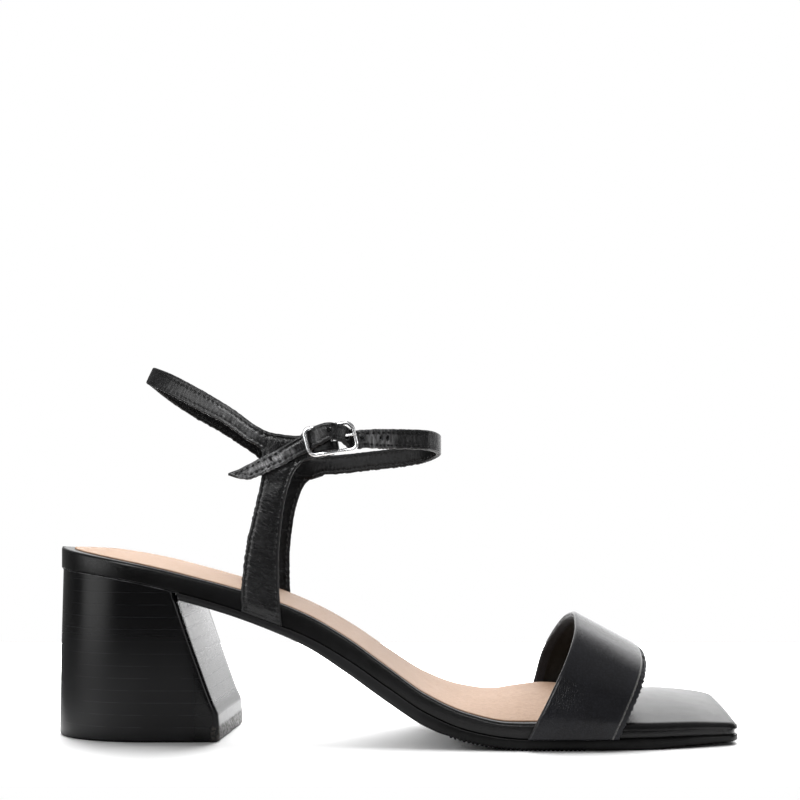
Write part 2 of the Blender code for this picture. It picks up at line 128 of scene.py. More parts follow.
def studio_room():
    world = bpy.data.worlds.new("studio_room")
    world.use_nodes = True
    room = Shade(world.node_tree)
    way = room.node("ShaderNodeTexCoord", output="Generated")
    split = room.node("ShaderNodeSeparateXYZ", None, {0: way}).socket.node
    right, back, up = (Shade(room.tree, split.outputs[axis]) for axis in "XYZ")
    glow = ROOM_LIGHT + SWEEP_LIGHT * back.between(*SWEEP_BACK) * right.between(*SWEEP_RIGHT)
    glow = glow + TOP_LIGHT * up.between(*TOP_UP)
    glossy = room.node("ShaderNodeLightPath", output="Is Glossy Ray")
    for box in LIGHT_BOXES:
        facing = box.way[0] * right + box.way[1] * back + box.way[2] * up
        glow = glow + box.glow * glossy * facing.between(box.fade, box.full)
    seen = room.node("ShaderNodeLightPath", output="Is Camera Ray")
    background = world.node_tree.nodes["Background"]
    background.inputs["Color"].default_value = (1, 1, 1, 1)
    room.feed(background.inputs["Strength"], seen + (1 - seen) * glow)
    return world


def studio_floor():
    mesh = bpy.data.meshes.new("studio_floor")
    mesh.from_pydata([(x * MM, y * MM, 0) for x, y in SHEET], [], [(0, 1, 2, 3)])
    material = bpy.data.materials.new("studio_floor")
    material.use_nodes = True
    shader = material.node_tree.nodes["Principled BSDF"]
    shader.inputs["Base Color"].default_value = (0.93, 0.93, 0.93, 1)
    shader.inputs["Roughness"].default_value = 0.9
    shader.inputs["Specular IOR Level"].default_value = 0.0
    mesh.materials.append(material)
    return bpy.data.objects.new("studio_floor", mesh)


def hang_light(row):
    """A large soft light that shows neither in the picture nor in the shoe's gloss."""
    light = bpy.data.lights.new(row.name, "AREA")
    light.shape = "RECTANGLE"
    light.size, light.size_y = (size * MM for size in row.size)
    light.energy = row.power
    holder = bpy.data.objects.new(row.name, light)
    holder.location = Vector(row.place) * MM
    holder.rotation_euler = (Vector(row.facing) - Vector(row.place)).to_track_quat("-Z", "Y").to_euler()
    holder.visible_camera = holder.visible_glossy = False
    return holder


scene = bpy.context.scene
scene.view_settings.view_transform = "Standard"
scene.world = studio_room()
for prop in (studio_floor(), *map(hang_light, SOFT_LIGHTS)):
    scene.collection.objects.link(prop)
lens = bpy.data.cameras.new("photo_view")
lens.sensor_width = SENSOR
lens.lens = SENSOR * LENS_PIXELS / PICTURE_PIXELS
lens.shift_y = HORIZON_SHIFT
lens.clip_start = 0.01
camera = bpy.data.objects.new("photo_view", lens)
camera.location = [size * MM for size in CAMERA_PLACE]
camera.rotation_euler = (math.pi / 2, 0, 0)
scene.collection.objects.link(camera)
scene.camera = camera

# Outsole: thin black rubber moulded from the heel breast over the arch to the
# toe, cemented under the footbed with a narrow ledge past its rim. Fine ribs run
# across the tread under the ball and show along its lower edge.
HEEL_BACK, HEEL_ROUND = -119.9, 34.0
TOE_TIP = 120.5
TOE_CORNER = {"lateral": 4.0, "medial": 8.0}
GAP = 0.3
OUTSOLE_START, BREAST_SKEW, SKEW_FADE = -74.4, 4.0, 30.0
OUTSOLE_LEDGE, TOE_LEDGE, LEDGE_FADE = 0.8, 0.3, 20.0
OUTSOLE_ROUND, ARCH_ROUND, OUTSOLE_TOP_ROUND = 0.7, 2.0, 0.35
ARCH_FADE, WAIST = (-5.0, 30.0), (-5.0, 25.0)
TREAD_START, TREAD_END, TREAD_FADE, TREAD_DEPTH = 20.0, 66.0, 4.0, 0.35
RIB_PITCH, RIB_RADIUS, RIB_INSET = 1.5, 0.5, 0.35
SEAT_CLEARANCE = 0.04
STATION_STEP, LEAST_STEP, TURN_STEPS, END_ROUND = 1.6, 0.03, 27, 1.5
BOARD_STEPS = np.array([0, 0.04, 0.12, 0.25, 0.45, 0.7, 1.0, 1.4, 2.0, 3.0])
MIDDLE_STEPS, NARROW_BOARD = np.linspace(0, 1, 22)[1:-1], 12.0
RIM_SAMPLES, END_SAMPLES = 3000, 700
WELD, SHARP_ANGLE = 0.004, 38

# One section of sole and footbed across the foot: half widths to each side,
# the top edge of the footbed, its underside, the outsole's underside, the
# crown of the middle and the lift of the medial edge.
Section = namedtuple("Section", "x lateral medial top seat tread crown lift")
SOLE = [
    Section(-120, 27.0, 26.8, 67.5, 60.2, 57.0, 0.3, -0.2),
    Section(-108, 27.0, 26.8, 65.7, 59.1, 56.0, 0.3, -0.2),
    Section(-96, 27.0, 26.8, 63.7, 57.4, 54.4, 0.2, -0.2),
    Section(-84, 27.0, 26.6, 61.3, 55.0, 52.0, 0.2, -0.2),
    Section(-72, 27.0, 26.4, 58.4, 51.9, 49.1, 0.1, -0.3),
    Section(-58, 27.0, 26.2, 54.8, 47.9, 45.0, 0.0, -0.5),
    Section(-44, 27.1, 26.2, 50.6, 43.0, 39.9, 0.0, -0.7),
    Section(-30, 27.9, 26.6, 45.0, 37.6, 33.7, 0.0, -0.8),
    Section(-16, 30.2, 28.0, 37.2, 30.0, 25.0, 0.0, -0.8),
    Section(-2, 33.2, 30.5, 27.5, 20.7, 15.4, 0.0, -0.8),
    Section(12, 36.6, 34.0, 18.0, 11.9, 7.0, 0.2, -0.5),
    Section(26, 39.4, 37.4, 12.0, 6.5, 2.3, 0.8, 0.0),
    Section(40, 41.3, 40.0, 9.2, 4.2, 0.3, 1.9, 1.0),
    Section(46, 41.7, 40.8, 9.1, 3.9, 0.0, 2.4, 1.8),
    Section(60, 42.0, 41.6, 9.1, 3.7, 0.0, 2.7, 2.5),
    Section(86, 39.6, 39.8, 8.7, 3.8, 0.0, 2.6, 3.0),
    Section(102, 35.3, 36.3, 8.4, 3.8, 0.9, 2.0, 3.6),
    Section(121, 28.0, 30.5, 7.1, 3.4, 1.2, 0.6, 3.8),
]


def smooth(keys, values, at):
    """Read a monotone cubic through a table's values at one or many places."""
    keys, values, at = (np.asarray(row, float) for row in (keys, values, at))
    steps = np.diff(keys)
    rates = np.diff(values) / steps
    before, after = rates[:-1], rates[1:]
    near, far = 2 * steps[1:] + steps[:-1], steps[1:] + 2 * steps[:-1]
    same_way = before * after > 0
    mean = np.divide(near, before, where=same_way, out=np.ones_like(near))
    mean = mean + np.divide(far, after, where=same_way, out=np.ones_like(far))
    slopes = np.concatenate(([rates[0]], np.where(same_way, (near + far) / mean, 0), [rates[-1]]))
    i = np.clip(np.searchsorted(keys, at) - 1, 0, len(steps) - 1)
    t = (at - keys[i]) / steps[i]
    rest = 1 - t
    start = values[i] * (1 + 2 * t) + steps[i] * slopes[i] * t
    end = values[i + 1] * (3 - 2 * t) - steps[i] * slopes[i + 1] * rest
    return start * rest ** 2 + end * t ** 2


def sole(column, x):
    return smooth([row.x for row in SOLE], [getattr(row, column) for row in SOLE], x)


def half_width(x, side):
    """Plan half width of the footbed: an elliptic heel and a square toe with round corners."""
    from_heel = np.clip((x - HEEL_BACK) / HEEL_ROUND, 0, 1)
    from_tip = np.clip((TOE_TIP - x) / TOE_CORNER[side], 0, 1)
    wide = sole(side, x) * np.sqrt(1 - (1 - from_heel) ** 2)
    return wide - TOE_CORNER[side] * (1 - np.sqrt(1 - (1 - from_tip) ** 2))


def stations(start, end):
    """Places along the foot, closer where the heel, the toe's corners and an end turn."""
    quarter = np.linspace(0, math.pi / 2, TURN_STEPS)
    parts = [np.arange(start, end, STATION_STEP), [start, end]]
    parts.append(start + HEEL_ROUND * (1 - np.cos(quarter)))
    for corner in (END_ROUND, *TOE_CORNER.values()):
        parts.append(end - corner * (1 - np.sin(quarter)))
    places = np.unique(np.concatenate(parts).round(4))
    places = places[(places >= start) & (places <= end)]
    return places[np.append(np.diff(places) > LEAST_STEP, True)]


def place_tree(places):
    """A tree that finds the nearest of some places."""
    tree = kdtree.KDTree(len(places))
    for i, place in enumerate(places):
        tree.insert(place, i)
    tree.balance()
    return tree


def distances(tree, points):
    return np.array([tree.find(point)[2] for point in points])


def round_off(depth, radius):
    """How far a rounded edge falls away at a depth in from it."""
    inside = np.clip(depth / radius, 0, 1)
    return radius * (1 - np.sqrt(1 - (1 - inside) ** 2))


def board(name, places, wide, top, bottom, soft, closed_ends=(False, True), skew=None):
    """A board with rounded edges, from half widths to each side and heights over the plan."""
    fine = np.unique(np.concatenate([places, np.linspace(places[0], places[-1], RIM_SAMPLES)]))
    rim = [(fine, -wide(fine, "lateral")), (fine, wide(fine, "medial"))]
    for end, closed in zip((places[0], places[-1]), closed_ends):
        if closed:
            across = np.linspace(-wide(end, "lateral"), wide(end, "medial"), END_SAMPLES)
            rim.append((np.full_like(across, end), across))
    rim = np.concatenate([np.stack([x, y, 0 * y], 1) for x, y in rim])
    rows = []
    for x in places:
        left, right = -wide(x, "lateral"), wide(x, "medial")
        steps = BOARD_STEPS * min(1, (right - left) / NARROW_BOARD)
        between = left + steps[-1] + (right - left - 2 * steps[-1]) * MIDDLE_STEPS
        rows.append(np.concatenate([left + steps, between, right - steps[::-1]]))
    y = np.array(rows)
    x = np.repeat(places[:, None], y.shape[1], 1)
    depth = distances(place_tree(rim), np.stack([x, y, 0 * y], 2).reshape(-1, 3)).reshape(x.shape)
    if skew:
        x = skew(x, y)
    over, under = (radius(x) if callable(radius) else radius for radius in soft)
    high = np.stack([x, y, top(x, y) - round_off(depth, over)], 2)
    low = np.stack([x, y, bottom(x, y) + round_off(depth, under)], 2)
    rings = np.concatenate([high, low[:, ::-1]], 1)
    depths = np.concatenate([depth, depth[:, ::-1]], 1)
    return loft(name, rings, depths)


def patches(number):
    """The quads of a grid of point numbers."""
    return np.stack([number[:-1, :-1], number[:-1, 1:], number[1:, 1:], number[1:, :-1]], 2)


def mark_points(mesh, name, values):
    """Write a number for every point of a mesh."""
    flat = np.asarray(values, np.float32).ravel()
    mesh.attributes.new(name, "FLOAT", "POINT").data.foreach_set("value", flat)


def loft(name, rings, depths=None, close=True):
    """Close up rings of points in millimetres into a solid mesh in metres."""
    many, count = rings.shape[:2]
    number = np.arange(many * count).reshape(many, count)
    quads = patches(np.concatenate([number, number[:, :1]], 1)).reshape(-1, 4).tolist()
    caps = [number[0].tolist(), number[-1].tolist()] if close else []
    mesh = bpy.data.meshes.new(name)
    mesh.from_pydata((rings.reshape(-1, 3) * MM).tolist(), [], quads + caps)
    if depths is not None:
        mark_points(mesh, "edge", depths)
    return settle(mesh)


def settle(mesh):
    """Weld a mesh's seams and poles, turn its faces outwards and smooth it."""
    weld = WELD * MM
    form = bmesh.new()
    form.from_mesh(mesh)
    bmesh.ops.remove_doubles(form, verts=form.verts, dist=weld)
    bmesh.ops.dissolve_degenerate(form, edges=form.edges, dist=weld)
    bmesh.ops.recalc_face_normals(form, faces=form.faces)
    form.to_mesh(mesh)
    form.free()
    mesh.shade_smooth()
    mesh.set_sharp_from_angle(angle=math.radians(SHARP_ANGLE))
    return mesh


def fit_piece(name, mesh, material, slot, *nodes):
    """Hang a finished mesh on the shoe in place of its plain solid."""
    mesh.name = name
    mesh.materials.clear()
    mesh.materials.append(material)
    piece = bpy.data.objects.new(name, mesh)
    scene.collection.objects.link(piece)
    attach(piece, "root")
    if nodes:
        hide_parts(*nodes)
    return piece


def new_finish(name, **steady):
    """A shader with its steady sockets set, and the tools to paint the rest."""
    material = bpy.data.materials.new(name)
    material.use_nodes = True
    shader = material.node_tree.nodes["Principled BSDF"]
    for socket, value in steady.items():
        shader.inputs[socket.replace("_", " ")].default_value = value
    return material, Shade(material.node_tree), shader.inputs


def noise(paint, size, detail=2.0, where=None):
    """Soft noise with features of about this size."""
    where = where or paint.node("ShaderNodeTexCoord", output="Object")
    given = {"Vector": where, "Scale": 1 / (size * MM), "Detail": detail}
    return paint.node("ShaderNodeTexNoise", None, given)


def relief(paint, height):
    """Bump from a height in millimetres."""
    return paint.node("ShaderNodeBump", None, {"Strength": 1.0, "Distance": MM, "Height": height})


def spot(paint, axis):
    """Where a point is on one axis, in millimetres."""
    where = paint.node("ShaderNodeTexCoord", output="Object")
    return paint.node("ShaderNodeSeparateXYZ", None, {0: where}, axis) / MM


def sole_rubber():
    material, paint, ports = new_finish("sole_rubber", Specular_IOR_Level=0.1)
    cloud = noise(paint, 9.0, 3.0)
    grit = noise(paint, 0.35, 2.0)
    # Painted reflection: the outsole is painted lighter under the arch, where its rounded lower edge would
    # mirror the floor.
    painted_waist_shading = 1 - spot(paint, "X").between(*WAIST)
    colour = cloud.between(0.35, 0.7).blend((0.004, 0.004, 0.004), (0.008, 0.008, 0.0082))
    paint.feed(ports["Base Color"], (0.75 * painted_waist_shading).blend(colour, (0.034, 0.034, 0.035)))
    paint.feed(ports["Roughness"], 0.2 + 0.1 * cloud)
    paint.feed(ports["Normal"], relief(paint, 0.02 * grit))
    return material


def outsole_skew(x, y):
    lateral, medial = half_width(x, "lateral"), half_width(x, "medial")
    fade = np.clip(1 - (x - OUTSOLE_START) / SKEW_FADE, 0, 1)
    return x + BREAST_SKEW * fade * (y + lateral) / (lateral + medial)


def tread_rise(x):
    """Depth that the tread's ground lies above its ribs."""
    start = np.clip((x - TREAD_START) / TREAD_FADE + 1, 0, 1)
    end = np.clip((TREAD_END - x) / TREAD_FADE + 1, 0, 1)
    return TREAD_DEPTH * start * end


def outsole_side(x, side):
    fade = np.clip((TOE_TIP - x) / LEDGE_FADE, 0, 1)
    return half_width(x, side) + TOE_LEDGE + (OUTSOLE_LEDGE - TOE_LEDGE) * fade


def lower_round(x):
    """Radius of the lower edge, broad under the arch and tight on the ground."""
    return np.interp(x, ARCH_FADE, (ARCH_ROUND, OUTSOLE_ROUND))


def make_outsole():
    return board("outsole", stations(OUTSOLE_START, TOE_TIP), outsole_side,
                 lambda x, y: sole("seat", x) - SEAT_CLEARANCE,
                 lambda x, y: sole("tread", x) + tread_rise(x),
                 (OUTSOLE_TOP_ROUND, lower_round), skew=outsole_skew)


def copies_tool(name, shape, counts, axes, scale):
    """A geometry tool that copies a shape onto points, turned and sized by what they carry."""
    tree = bpy.data.node_groups.new(name, "GeometryNodeTree")
    tool = Shade(tree)
    sockets = {"Points": "Geometry", "Finish": "Material", "Width": "Float", "Height": "Float"}
    for socket, kind in sockets.items():
        tree.interface.new_socket(socket, in_out="INPUT", socket_type="NodeSocket" + kind)
    tree.interface.new_socket("Made", in_out="OUTPUT", socket_type="NodeSocketGeometry")
    given = tree.nodes.new("NodeGroupInput").outputs
    read = {socket.name: Shade(tree, socket) for socket in given if socket.name}
    for mark, kind in (("along", "FLOAT_VECTOR"), ("out", "FLOAT_VECTOR"), ("length", "FLOAT")):
        read[mark] = tool.node("GeometryNodeInputNamedAttribute", {"data_type": kind}, {"Name": mark})
    turn = tool.node("FunctionNodeAxesToRotation", {"primary_axis": "Z", "secondary_axis": "X"},
                     {"Primary Axis": read[axes[0]], "Secondary Axis": read[axes[1]]})
    size = tool.node("ShaderNodeCombineXYZ", None, {axis: read[key] for axis, key in zip("XYZ", scale)})
    copied = tool.node(shape, None, counts, "Mesh")
    made = tool.node("GeometryNodeInstanceOnPoints", None,
                     {"Points": read["Points"], "Instance": copied, "Rotation": turn, "Scale": size})
    made = tool.node("GeometryNodeRealizeInstances", None, {0: made})
    made = tool.node("GeometryNodeSetShadeSmooth", None, {0: made})
    made = tool.node("GeometryNodeSetMaterial", None, {0: made, "Material": read["Finish"]})
    tool.feed(tree.nodes.new("NodeGroupOutput").inputs[0], made)
    return tree


def plain_mesh(holder):
    """The mesh that an object's modifiers make; the object itself goes."""
    bpy.context.view_layer.update()
    made = bpy.data.meshes.new_from_object(holder.evaluated_get(bpy.context.evaluated_depsgraph_get()))
    bpy.data.objects.remove(holder)
    return made


def run_tool(name, tree, finish, sizes, points, along, out, length):
    """Run a geometry tool over points in millimetres and return the plain mesh."""
    mesh = bpy.data.meshes.new(name)
    mesh.from_pydata((np.asarray(points) * MM).tolist(), [], [])
    for key, rows in (("along", along), ("out", out)):
        flat = np.asarray(rows, np.float32).ravel()
        mesh.attributes.new(key, "FLOAT_VECTOR", "POINT").data.foreach_set("vector", flat)
    mark_points(mesh, "length", np.asarray(length) * MM)
    holder = bpy.data.objects.new(name, mesh)
    scene.collection.objects.link(holder)
    modifier = holder.modifiers.new(name, "NODES")
    modifier.node_group = tree
    names = {item.name: item.identifier for item in tree.interface.items_tree if item.in_out == "INPUT"}
    modifier[names["Finish"]] = finish
    for key, size in sizes.items():
        modifier[names[key]] = size * MM
    return plain_mesh(holder)


def make_tread_ribs(finish):
    """Rounded bars across the tread."""
    x = np.arange(TREAD_START, TREAD_END, RIB_PITCH)
    inset = OUTSOLE_ROUND * RIB_INSET - OUTSOLE_LEDGE
    lateral, medial = half_width(x, "lateral") - inset, half_width(x, "medial") - inset
    points = np.stack([x, (medial - lateral) / 2, sole("tread", x) + RIB_RADIUS], 1)
    along = np.tile((0.0, 1.0, 0.0), (len(x), 1))
    out = np.tile((0.0, 0.0, 1.0), (len(x), 1))
    bars = copies_tool("rib_copies", "GeometryNodeMeshCylinder",
                       {"Vertices": 10, "Radius": 1.0, "Depth": 1.0},
                       ("along", "out"), ("Width", "Height", "length"))
    return run_tool("tread_ribs", bars, finish, {"Width": RIB_RADIUS, "Height": RIB_RADIUS},
                    points, along, out, lateral + medial)


SOLE_RUBBER = sole_rubber()
fit_piece("outsole", make_outsole(), SOLE_RUBBER, "sole_rubber", "outsole")
fit_piece("tread_ribs", make_tread_ribs(SOLE_RUBBER), SOLE_RUBBER, "sole_rubber")

# Heel: a block built to look like stacked lifts, satin black, with a breast that
# leans forward to the floor. A rubber top piece is nailed under it, drawn in the
# heel's own finish, and a thin bead of finish fills the seam below the footbed.
HEEL_CORNER, HEEL_STEPS = 2.5, (20, 7, 14)
HEEL_TIP_HEIGHT, TIP_ROUND = 5.0, 1.1
LIFT_HEIGHT, BREAST_JOINT = 4.3, 9.0
ROUGH_HEIGHT = 50.0
BREAST_LATERAL, BREAST_MEDIAL, BREAST_ALONG = (-23.5, -21.5), (20.0, 22.0), (-79.0, -77.0)
JOINT_ALONG, FOOT_ALONG, FOOT_HEIGHT = (-79.0, -78.0), (-64.0, -62.5), (4.6, 6.4)

# One level of the heel, from the tip (rise 0) to the seat (rise 1).
HeelLevel = namedtuple("HeelLevel", "rise back breast lateral medial")
HEEL = [
    HeelLevel(0.00, -120.6, -60.5, 24.5, 22.0),
    HeelLevel(0.10, -120.5, -60.9, 24.7, 22.5),
    HeelLevel(0.19, -120.4, -62.6, 24.9, 22.9),
    HeelLevel(0.46, -120.1, -67.1, 25.5, 24.2),
    HeelLevel(0.73, -119.7, -71.7, 26.1, 25.4),
    HeelLevel(1.00, -119.3, -76.2, 26.7, 26.4),
]

# A groove between two lifts, as steps from its middle and how deep each is cut.
GrooveStep = namedtuple("GrooveStep", "rise cut")
GROOVE = [GrooveStep(-0.34, 0.0), GrooveStep(-0.14, 0.0), GrooveStep(0.0, 0.007),
          GrooveStep(0.14, 0.0), GrooveStep(0.34, 0.0)]

# A ring of the bead in the seam below the footbed: how far it stands proud, and its height there.
SeamRing = namedtuple("SeamRing", "proud lift")
SEAM = [SeamRing(0.0, -0.25), SeamRing(0.22, -0.2), SeamRing(0.22, 0.1), SeamRing(0.0, 0.2)]

# A point of the heel's plan: how far it lies from back to breast, with a constant, its
# share of the breast's skew, and its shares of the two half widths, with a constant.
HeelPoint = namedtuple("HeelPoint", "reach along skew lateral medial across")


def heel_plan():
    """The heel's plan once round: lateral side, breast and medial side."""
    arc, corner, run = (np.linspace(0, 1, count) for count in HEEL_STEPS)
    half = [HeelPoint(0, HEEL_ROUND * (1 - math.cos(a)), 0, math.sin(a), 0, 0) for a in arc * math.pi / 2]
    half += [HeelPoint(t, HEEL_ROUND * (1 - t) - HEEL_CORNER * t, 0, 1, 0, 0) for t in run[1:-1]]
    half += [HeelPoint(1, -HEEL_CORNER * (1 - math.sin(a)), 0, 1, 0, HEEL_CORNER * (1 - math.cos(a)))
             for a in corner * math.pi / 2]
    breast = [HeelPoint(1, 0, t, 1 - t, t, HEEL_CORNER * (1 - 2 * t)) for t in run[1:-1]]
    mirrored = [row._replace(skew=row.reach, lateral=0, medial=row.lateral, across=-row.across)
                for row in half]
    return np.array(half + breast + mirrored[:0:-1])


def heel_ring(rise, cut):
    """The plan at one rise, or at a rise for each point, drawn in by a cut."""
    reach, along, skew, lateral, medial, across = heel_plan().T
    read = {}
    for column in ("back", "breast", "lateral", "medial"):
        read[column] = smooth([row.rise for row in HEEL], [getattr(row, column) for row in HEEL], rise)
    back, breast = read["back"] + cut, read["breast"] - cut + BREAST_SKEW * skew
    x = back * (1 - reach) + breast * reach + along
    y = medial * (read["medial"] - cut) - lateral * (read["lateral"] - cut) + across
    return x, y


def make_heel_block():
    """Level rings with a groove between lifts, cut off along the slope of the seat."""
    base = HEEL_TIP_HEIGHT + GAP
    levels = [(base, 0.0)]
    for groove in np.arange(base + LIFT_HEIGHT, sole("seat", HEEL_BACK), LIFT_HEIGHT):
        levels += [(groove + step.rise, step.cut) for step in GROOVE]
    rings = []
    for z, cut in levels:
        rise = np.full(len(heel_plan()), (z - base) / ROUGH_HEIGHT)
        for _ in range(4):
            x, y = heel_ring(np.clip(rise, 0, 1), cut)
            rise = (z - base) / (sole("seat", x) - GAP - base)
        rings.append(np.stack([x, y, np.minimum(z, sole("seat", x) - GAP)], 1))
    seam = [0.0] * len(rings)
    for ring in SEAM:
        x, y = heel_ring(1.0, -ring.proud)
        rings.append(np.stack([x, y, sole("seat", x) - GAP + ring.lift], 1))
        seam.append(1.0 if ring.proud else 0.0)
    rings = np.array(rings)
    return loft("heel_block", rings, np.repeat(seam, rings.shape[1]))


def make_heel_tip():
    turn = np.linspace(0, math.pi / 2, 6)
    levels = [(TIP_ROUND * (1 - math.cos(a)), TIP_ROUND * (1 - math.sin(a))) for a in turn]
    levels.append((HEEL_TIP_HEIGHT + GAP, 0.0))
    rings = []
    for z, cut in levels:
        x, y = heel_ring(0.0, cut)
        rings.append(np.stack([x, y, np.full_like(x, z)], 1))
    return loft("heel_tip", np.array(rings))


def read_mark(paint, name):
    return paint.node("ShaderNodeAttribute", {"attribute_name": name}, output="Fac")


def heel_stack():
    """Satin black finish with dust caught in the grooves and a scuffed foot; the breast is painted lighter
    grey, more towards its top, as a painted reflection, and the seam bead light grey as a painted highlight.
    """
    material, paint, ports = new_finish("heel_stack", Specular_IOR_Level=0.18, Coat_Roughness=0.12)
    where = paint.node("ShaderNodeTexCoord", output="Object")
    along, across, height = (spot(paint, axis) for axis in "XYZ")
    phase = paint.maths("FRACT", (height - HEEL_TIP_HEIGHT - GAP) / LIFT_HEIGHT + 0.5)
    off = paint.maths("ABSOLUTE", phase - 0.5) * LIFT_HEIGHT
    groove = 1 - off.between(0.06, 0.2)
    stretched = paint.node("ShaderNodeMapping", None, {"Vector": where, "Scale": (0.06, 0.06, 1.0)})
    grain = noise(paint, 0.55, 3.0, stretched)
    dust = groove * noise(paint, 9.0, 3.0).between(0.38, 0.6)
    joint = paint.maths("FRACT", across / BREAST_JOINT + 0.5)
    joint = 1 - (paint.maths("ABSOLUTE", joint - 0.5) * BREAST_JOINT).between(0.05, 0.16)
    joint = joint * along.between(*JOINT_ALONG)
    foot = (1 - height.between(*FOOT_HEIGHT)) * along.between(*FOOT_ALONG)
    scuff = foot * noise(paint, 0.9, 4.0).between(0.42, 0.6)
    seam = read_mark(paint, "edge")
    breast = across.between(*BREAST_LATERAL) * (1 - across.between(*BREAST_MEDIAL))
    breast = breast * along.between(*BREAST_ALONG)
    colour = (0.15 * dust).blend((0.0045, 0.0045, 0.005), (0.08, 0.08, 0.088))
    # Painted reflection: the breast is painted lighter grey, the more the higher it is.
    breast_reflection = breast * (0.1 + 0.3 * noise(paint, 1.4, 4.0) + 0.6 * height.between(8.0, 50.0))
    colour = breast_reflection.blend(colour, (0.2, 0.2, 0.205))
    colour = (0.8 * scuff).blend(colour, (0.05, 0.045, 0.038))
    # Painted highlight: the bead in the seam below the footbed is painted light grey in patches.
    colour = (0.7 * seam * noise(paint, 5.0, 3.0).between(0.3, 0.6)).blend(colour, (0.16, 0.16, 0.165))
    paint.feed(ports["Base Color"], colour)
    paint.feed(ports["Coat Weight"], 0.4 * breast * height.between(20.0, 48.0))
    dull = 0.24 * (1 - height.between(16.0, 52.0)) * (1 - along.between(-74.0, -66.0))
    bend = 0.16 * (1 - height.between(11.0, 15.0)) * along.between(*FOOT_ALONG)
    rough = 0.16 + 0.06 * grain + (0.05 + 0.03 * breast) * groove + 0.3 * scuff
    paint.feed(ports["Roughness"], rough + bend + dull)
    paint.feed(ports["Normal"], relief(paint, 0.014 * grain + 0.12 * scuff - 0.02 * joint))
    return material


HEEL_STACK = heel_stack()
fit_piece("heel_tip", make_heel_tip(), HEEL_STACK, "sole_rubber", "heel_tip")
fit_piece("heel_block", make_heel_block(), HEEL_STACK, "heel_stack", "heel_block")

# Footbed: a board wrapped in black leather from heel to toe, rolled over its top
# edge. In front of the band the wrap thins to a bead, and a set-back welt shows
# between it and the outsole.
EDGE_ROUND, TOE_ROUND, BEAD_ROUND = 1.1, 1.9, 0.35
BEAD_HEIGHT, TIP_BEAD_HEIGHT, BEAD_TAPER = 2.3, 1.9, 24.0
BEAD_START, BEAD_FULL = 72.0, 79.0
WELT_START, TOE_RECESS = 68.0, 0.7
WELT_ROUND, WELT_SUNK, WELT_CLEARANCE = 0.2, 0.2, 0.02


def across_share(x, y):
    lateral, medial = half_width(x, "lateral"), half_width(x, "medial")
    return np.clip((y + lateral) / np.maximum(lateral + medial, 0.001), 0, 1)


def rim_height(x, y):
    """Height of the top edge, level across but for the lift to the medial side."""
    return sole("top", x) + sole("lift", x) * across_share(x, y)


def bed(x, y):
    share = across_share(x, y)
    return rim_height(x, y) + sole("crown", x) * 4 * share * (1 - share)


def bead_foot(x, y):
    """Underside of the bead, which thins towards the tip."""
    taper = np.clip((TOE_TIP - x) / BEAD_TAPER, 0, 1)
    return rim_height(x, y) - TIP_BEAD_HEIGHT - (BEAD_HEIGHT - TIP_BEAD_HEIGHT) * taper


def bead_share(x):
    """0 behind the band, where the wrap goes down to the outsole, and 1 in front of it."""
    return np.clip((x - BEAD_START) / (BEAD_FULL - BEAD_START), 0, 1)


def wrap_foot(x, y):
    bead = bead_share(x)
    return sole("seat", x) * (1 - bead) + bead_foot(x, y) * bead


def upper_round(x):
    return EDGE_ROUND + (TOE_ROUND - EDGE_ROUND) * bead_share(x)


def make_footbed():
    return board("footbed", stations(HEEL_BACK, TOE_TIP), half_width, bed, wrap_foot,
                 (upper_round, BEAD_ROUND))


def welt_side(x, side):
    return half_width(x + TOE_RECESS, side) - TOE_RECESS


def make_welt():
    return board("toe_welt", stations(WELT_START, TOE_TIP - TOE_RECESS), welt_side,
                 lambda x, y: bead_foot(x, y) + WELT_SUNK,
                 lambda x, y: sole("seat", x) - GAP + WELT_CLEARANCE,
                 (WELT_ROUND, WELT_ROUND), closed_ends=(True, True))


def pebble(paint, size, where=None):
    """Grain of fine leather: small raised cells with soft furrows between them."""
    where = where or paint.node("ShaderNodeTexCoord", output="Object")
    wander = paint.node("ShaderNodeTexNoise", None, {"Vector": where, "Scale": 0.5 / (size * MM)}, "Color")
    bent = paint.node("ShaderNodeMix", {"data_type": "VECTOR"}, {0: size * MM * 0.5, 4: where, 5: wander}, 1)
    cells = paint.node("ShaderNodeTexVoronoi", {"feature": "DISTANCE_TO_EDGE"},
                       {"Vector": bent, "Scale": 1 / (size * MM)})
    return cells.between(0.0, 0.22)


def wrap_leather():
    material, paint, ports = new_finish("footbed_leather", Specular_IOR_Level=0.2)
    cloud = noise(paint, 11.0, 3.0)
    grain = pebble(paint, 0.8)
    fine = noise(paint, 0.3, 2.0)
    colour = cloud.between(0.3, 0.7).blend((0.0055, 0.0055, 0.0055), (0.0085, 0.0085, 0.009))
    paint.feed(ports["Base Color"], colour)
    paint.feed(ports["Roughness"], 0.17 + 0.09 * cloud - 0.03 * grain)
    paint.feed(ports["Normal"], relief(paint, 0.02 * grain + 0.014 * fine + 0.15 * noise(paint, 16.0, 1.0)))
    return material


WRAP_LEATHER = wrap_leather()
fit_piece("footbed", make_footbed(), WRAP_LEATHER, "footbed_leather", "footbed")
fit_piece("toe_welt", make_welt(), WRAP_LEATHER, "footbed_leather")

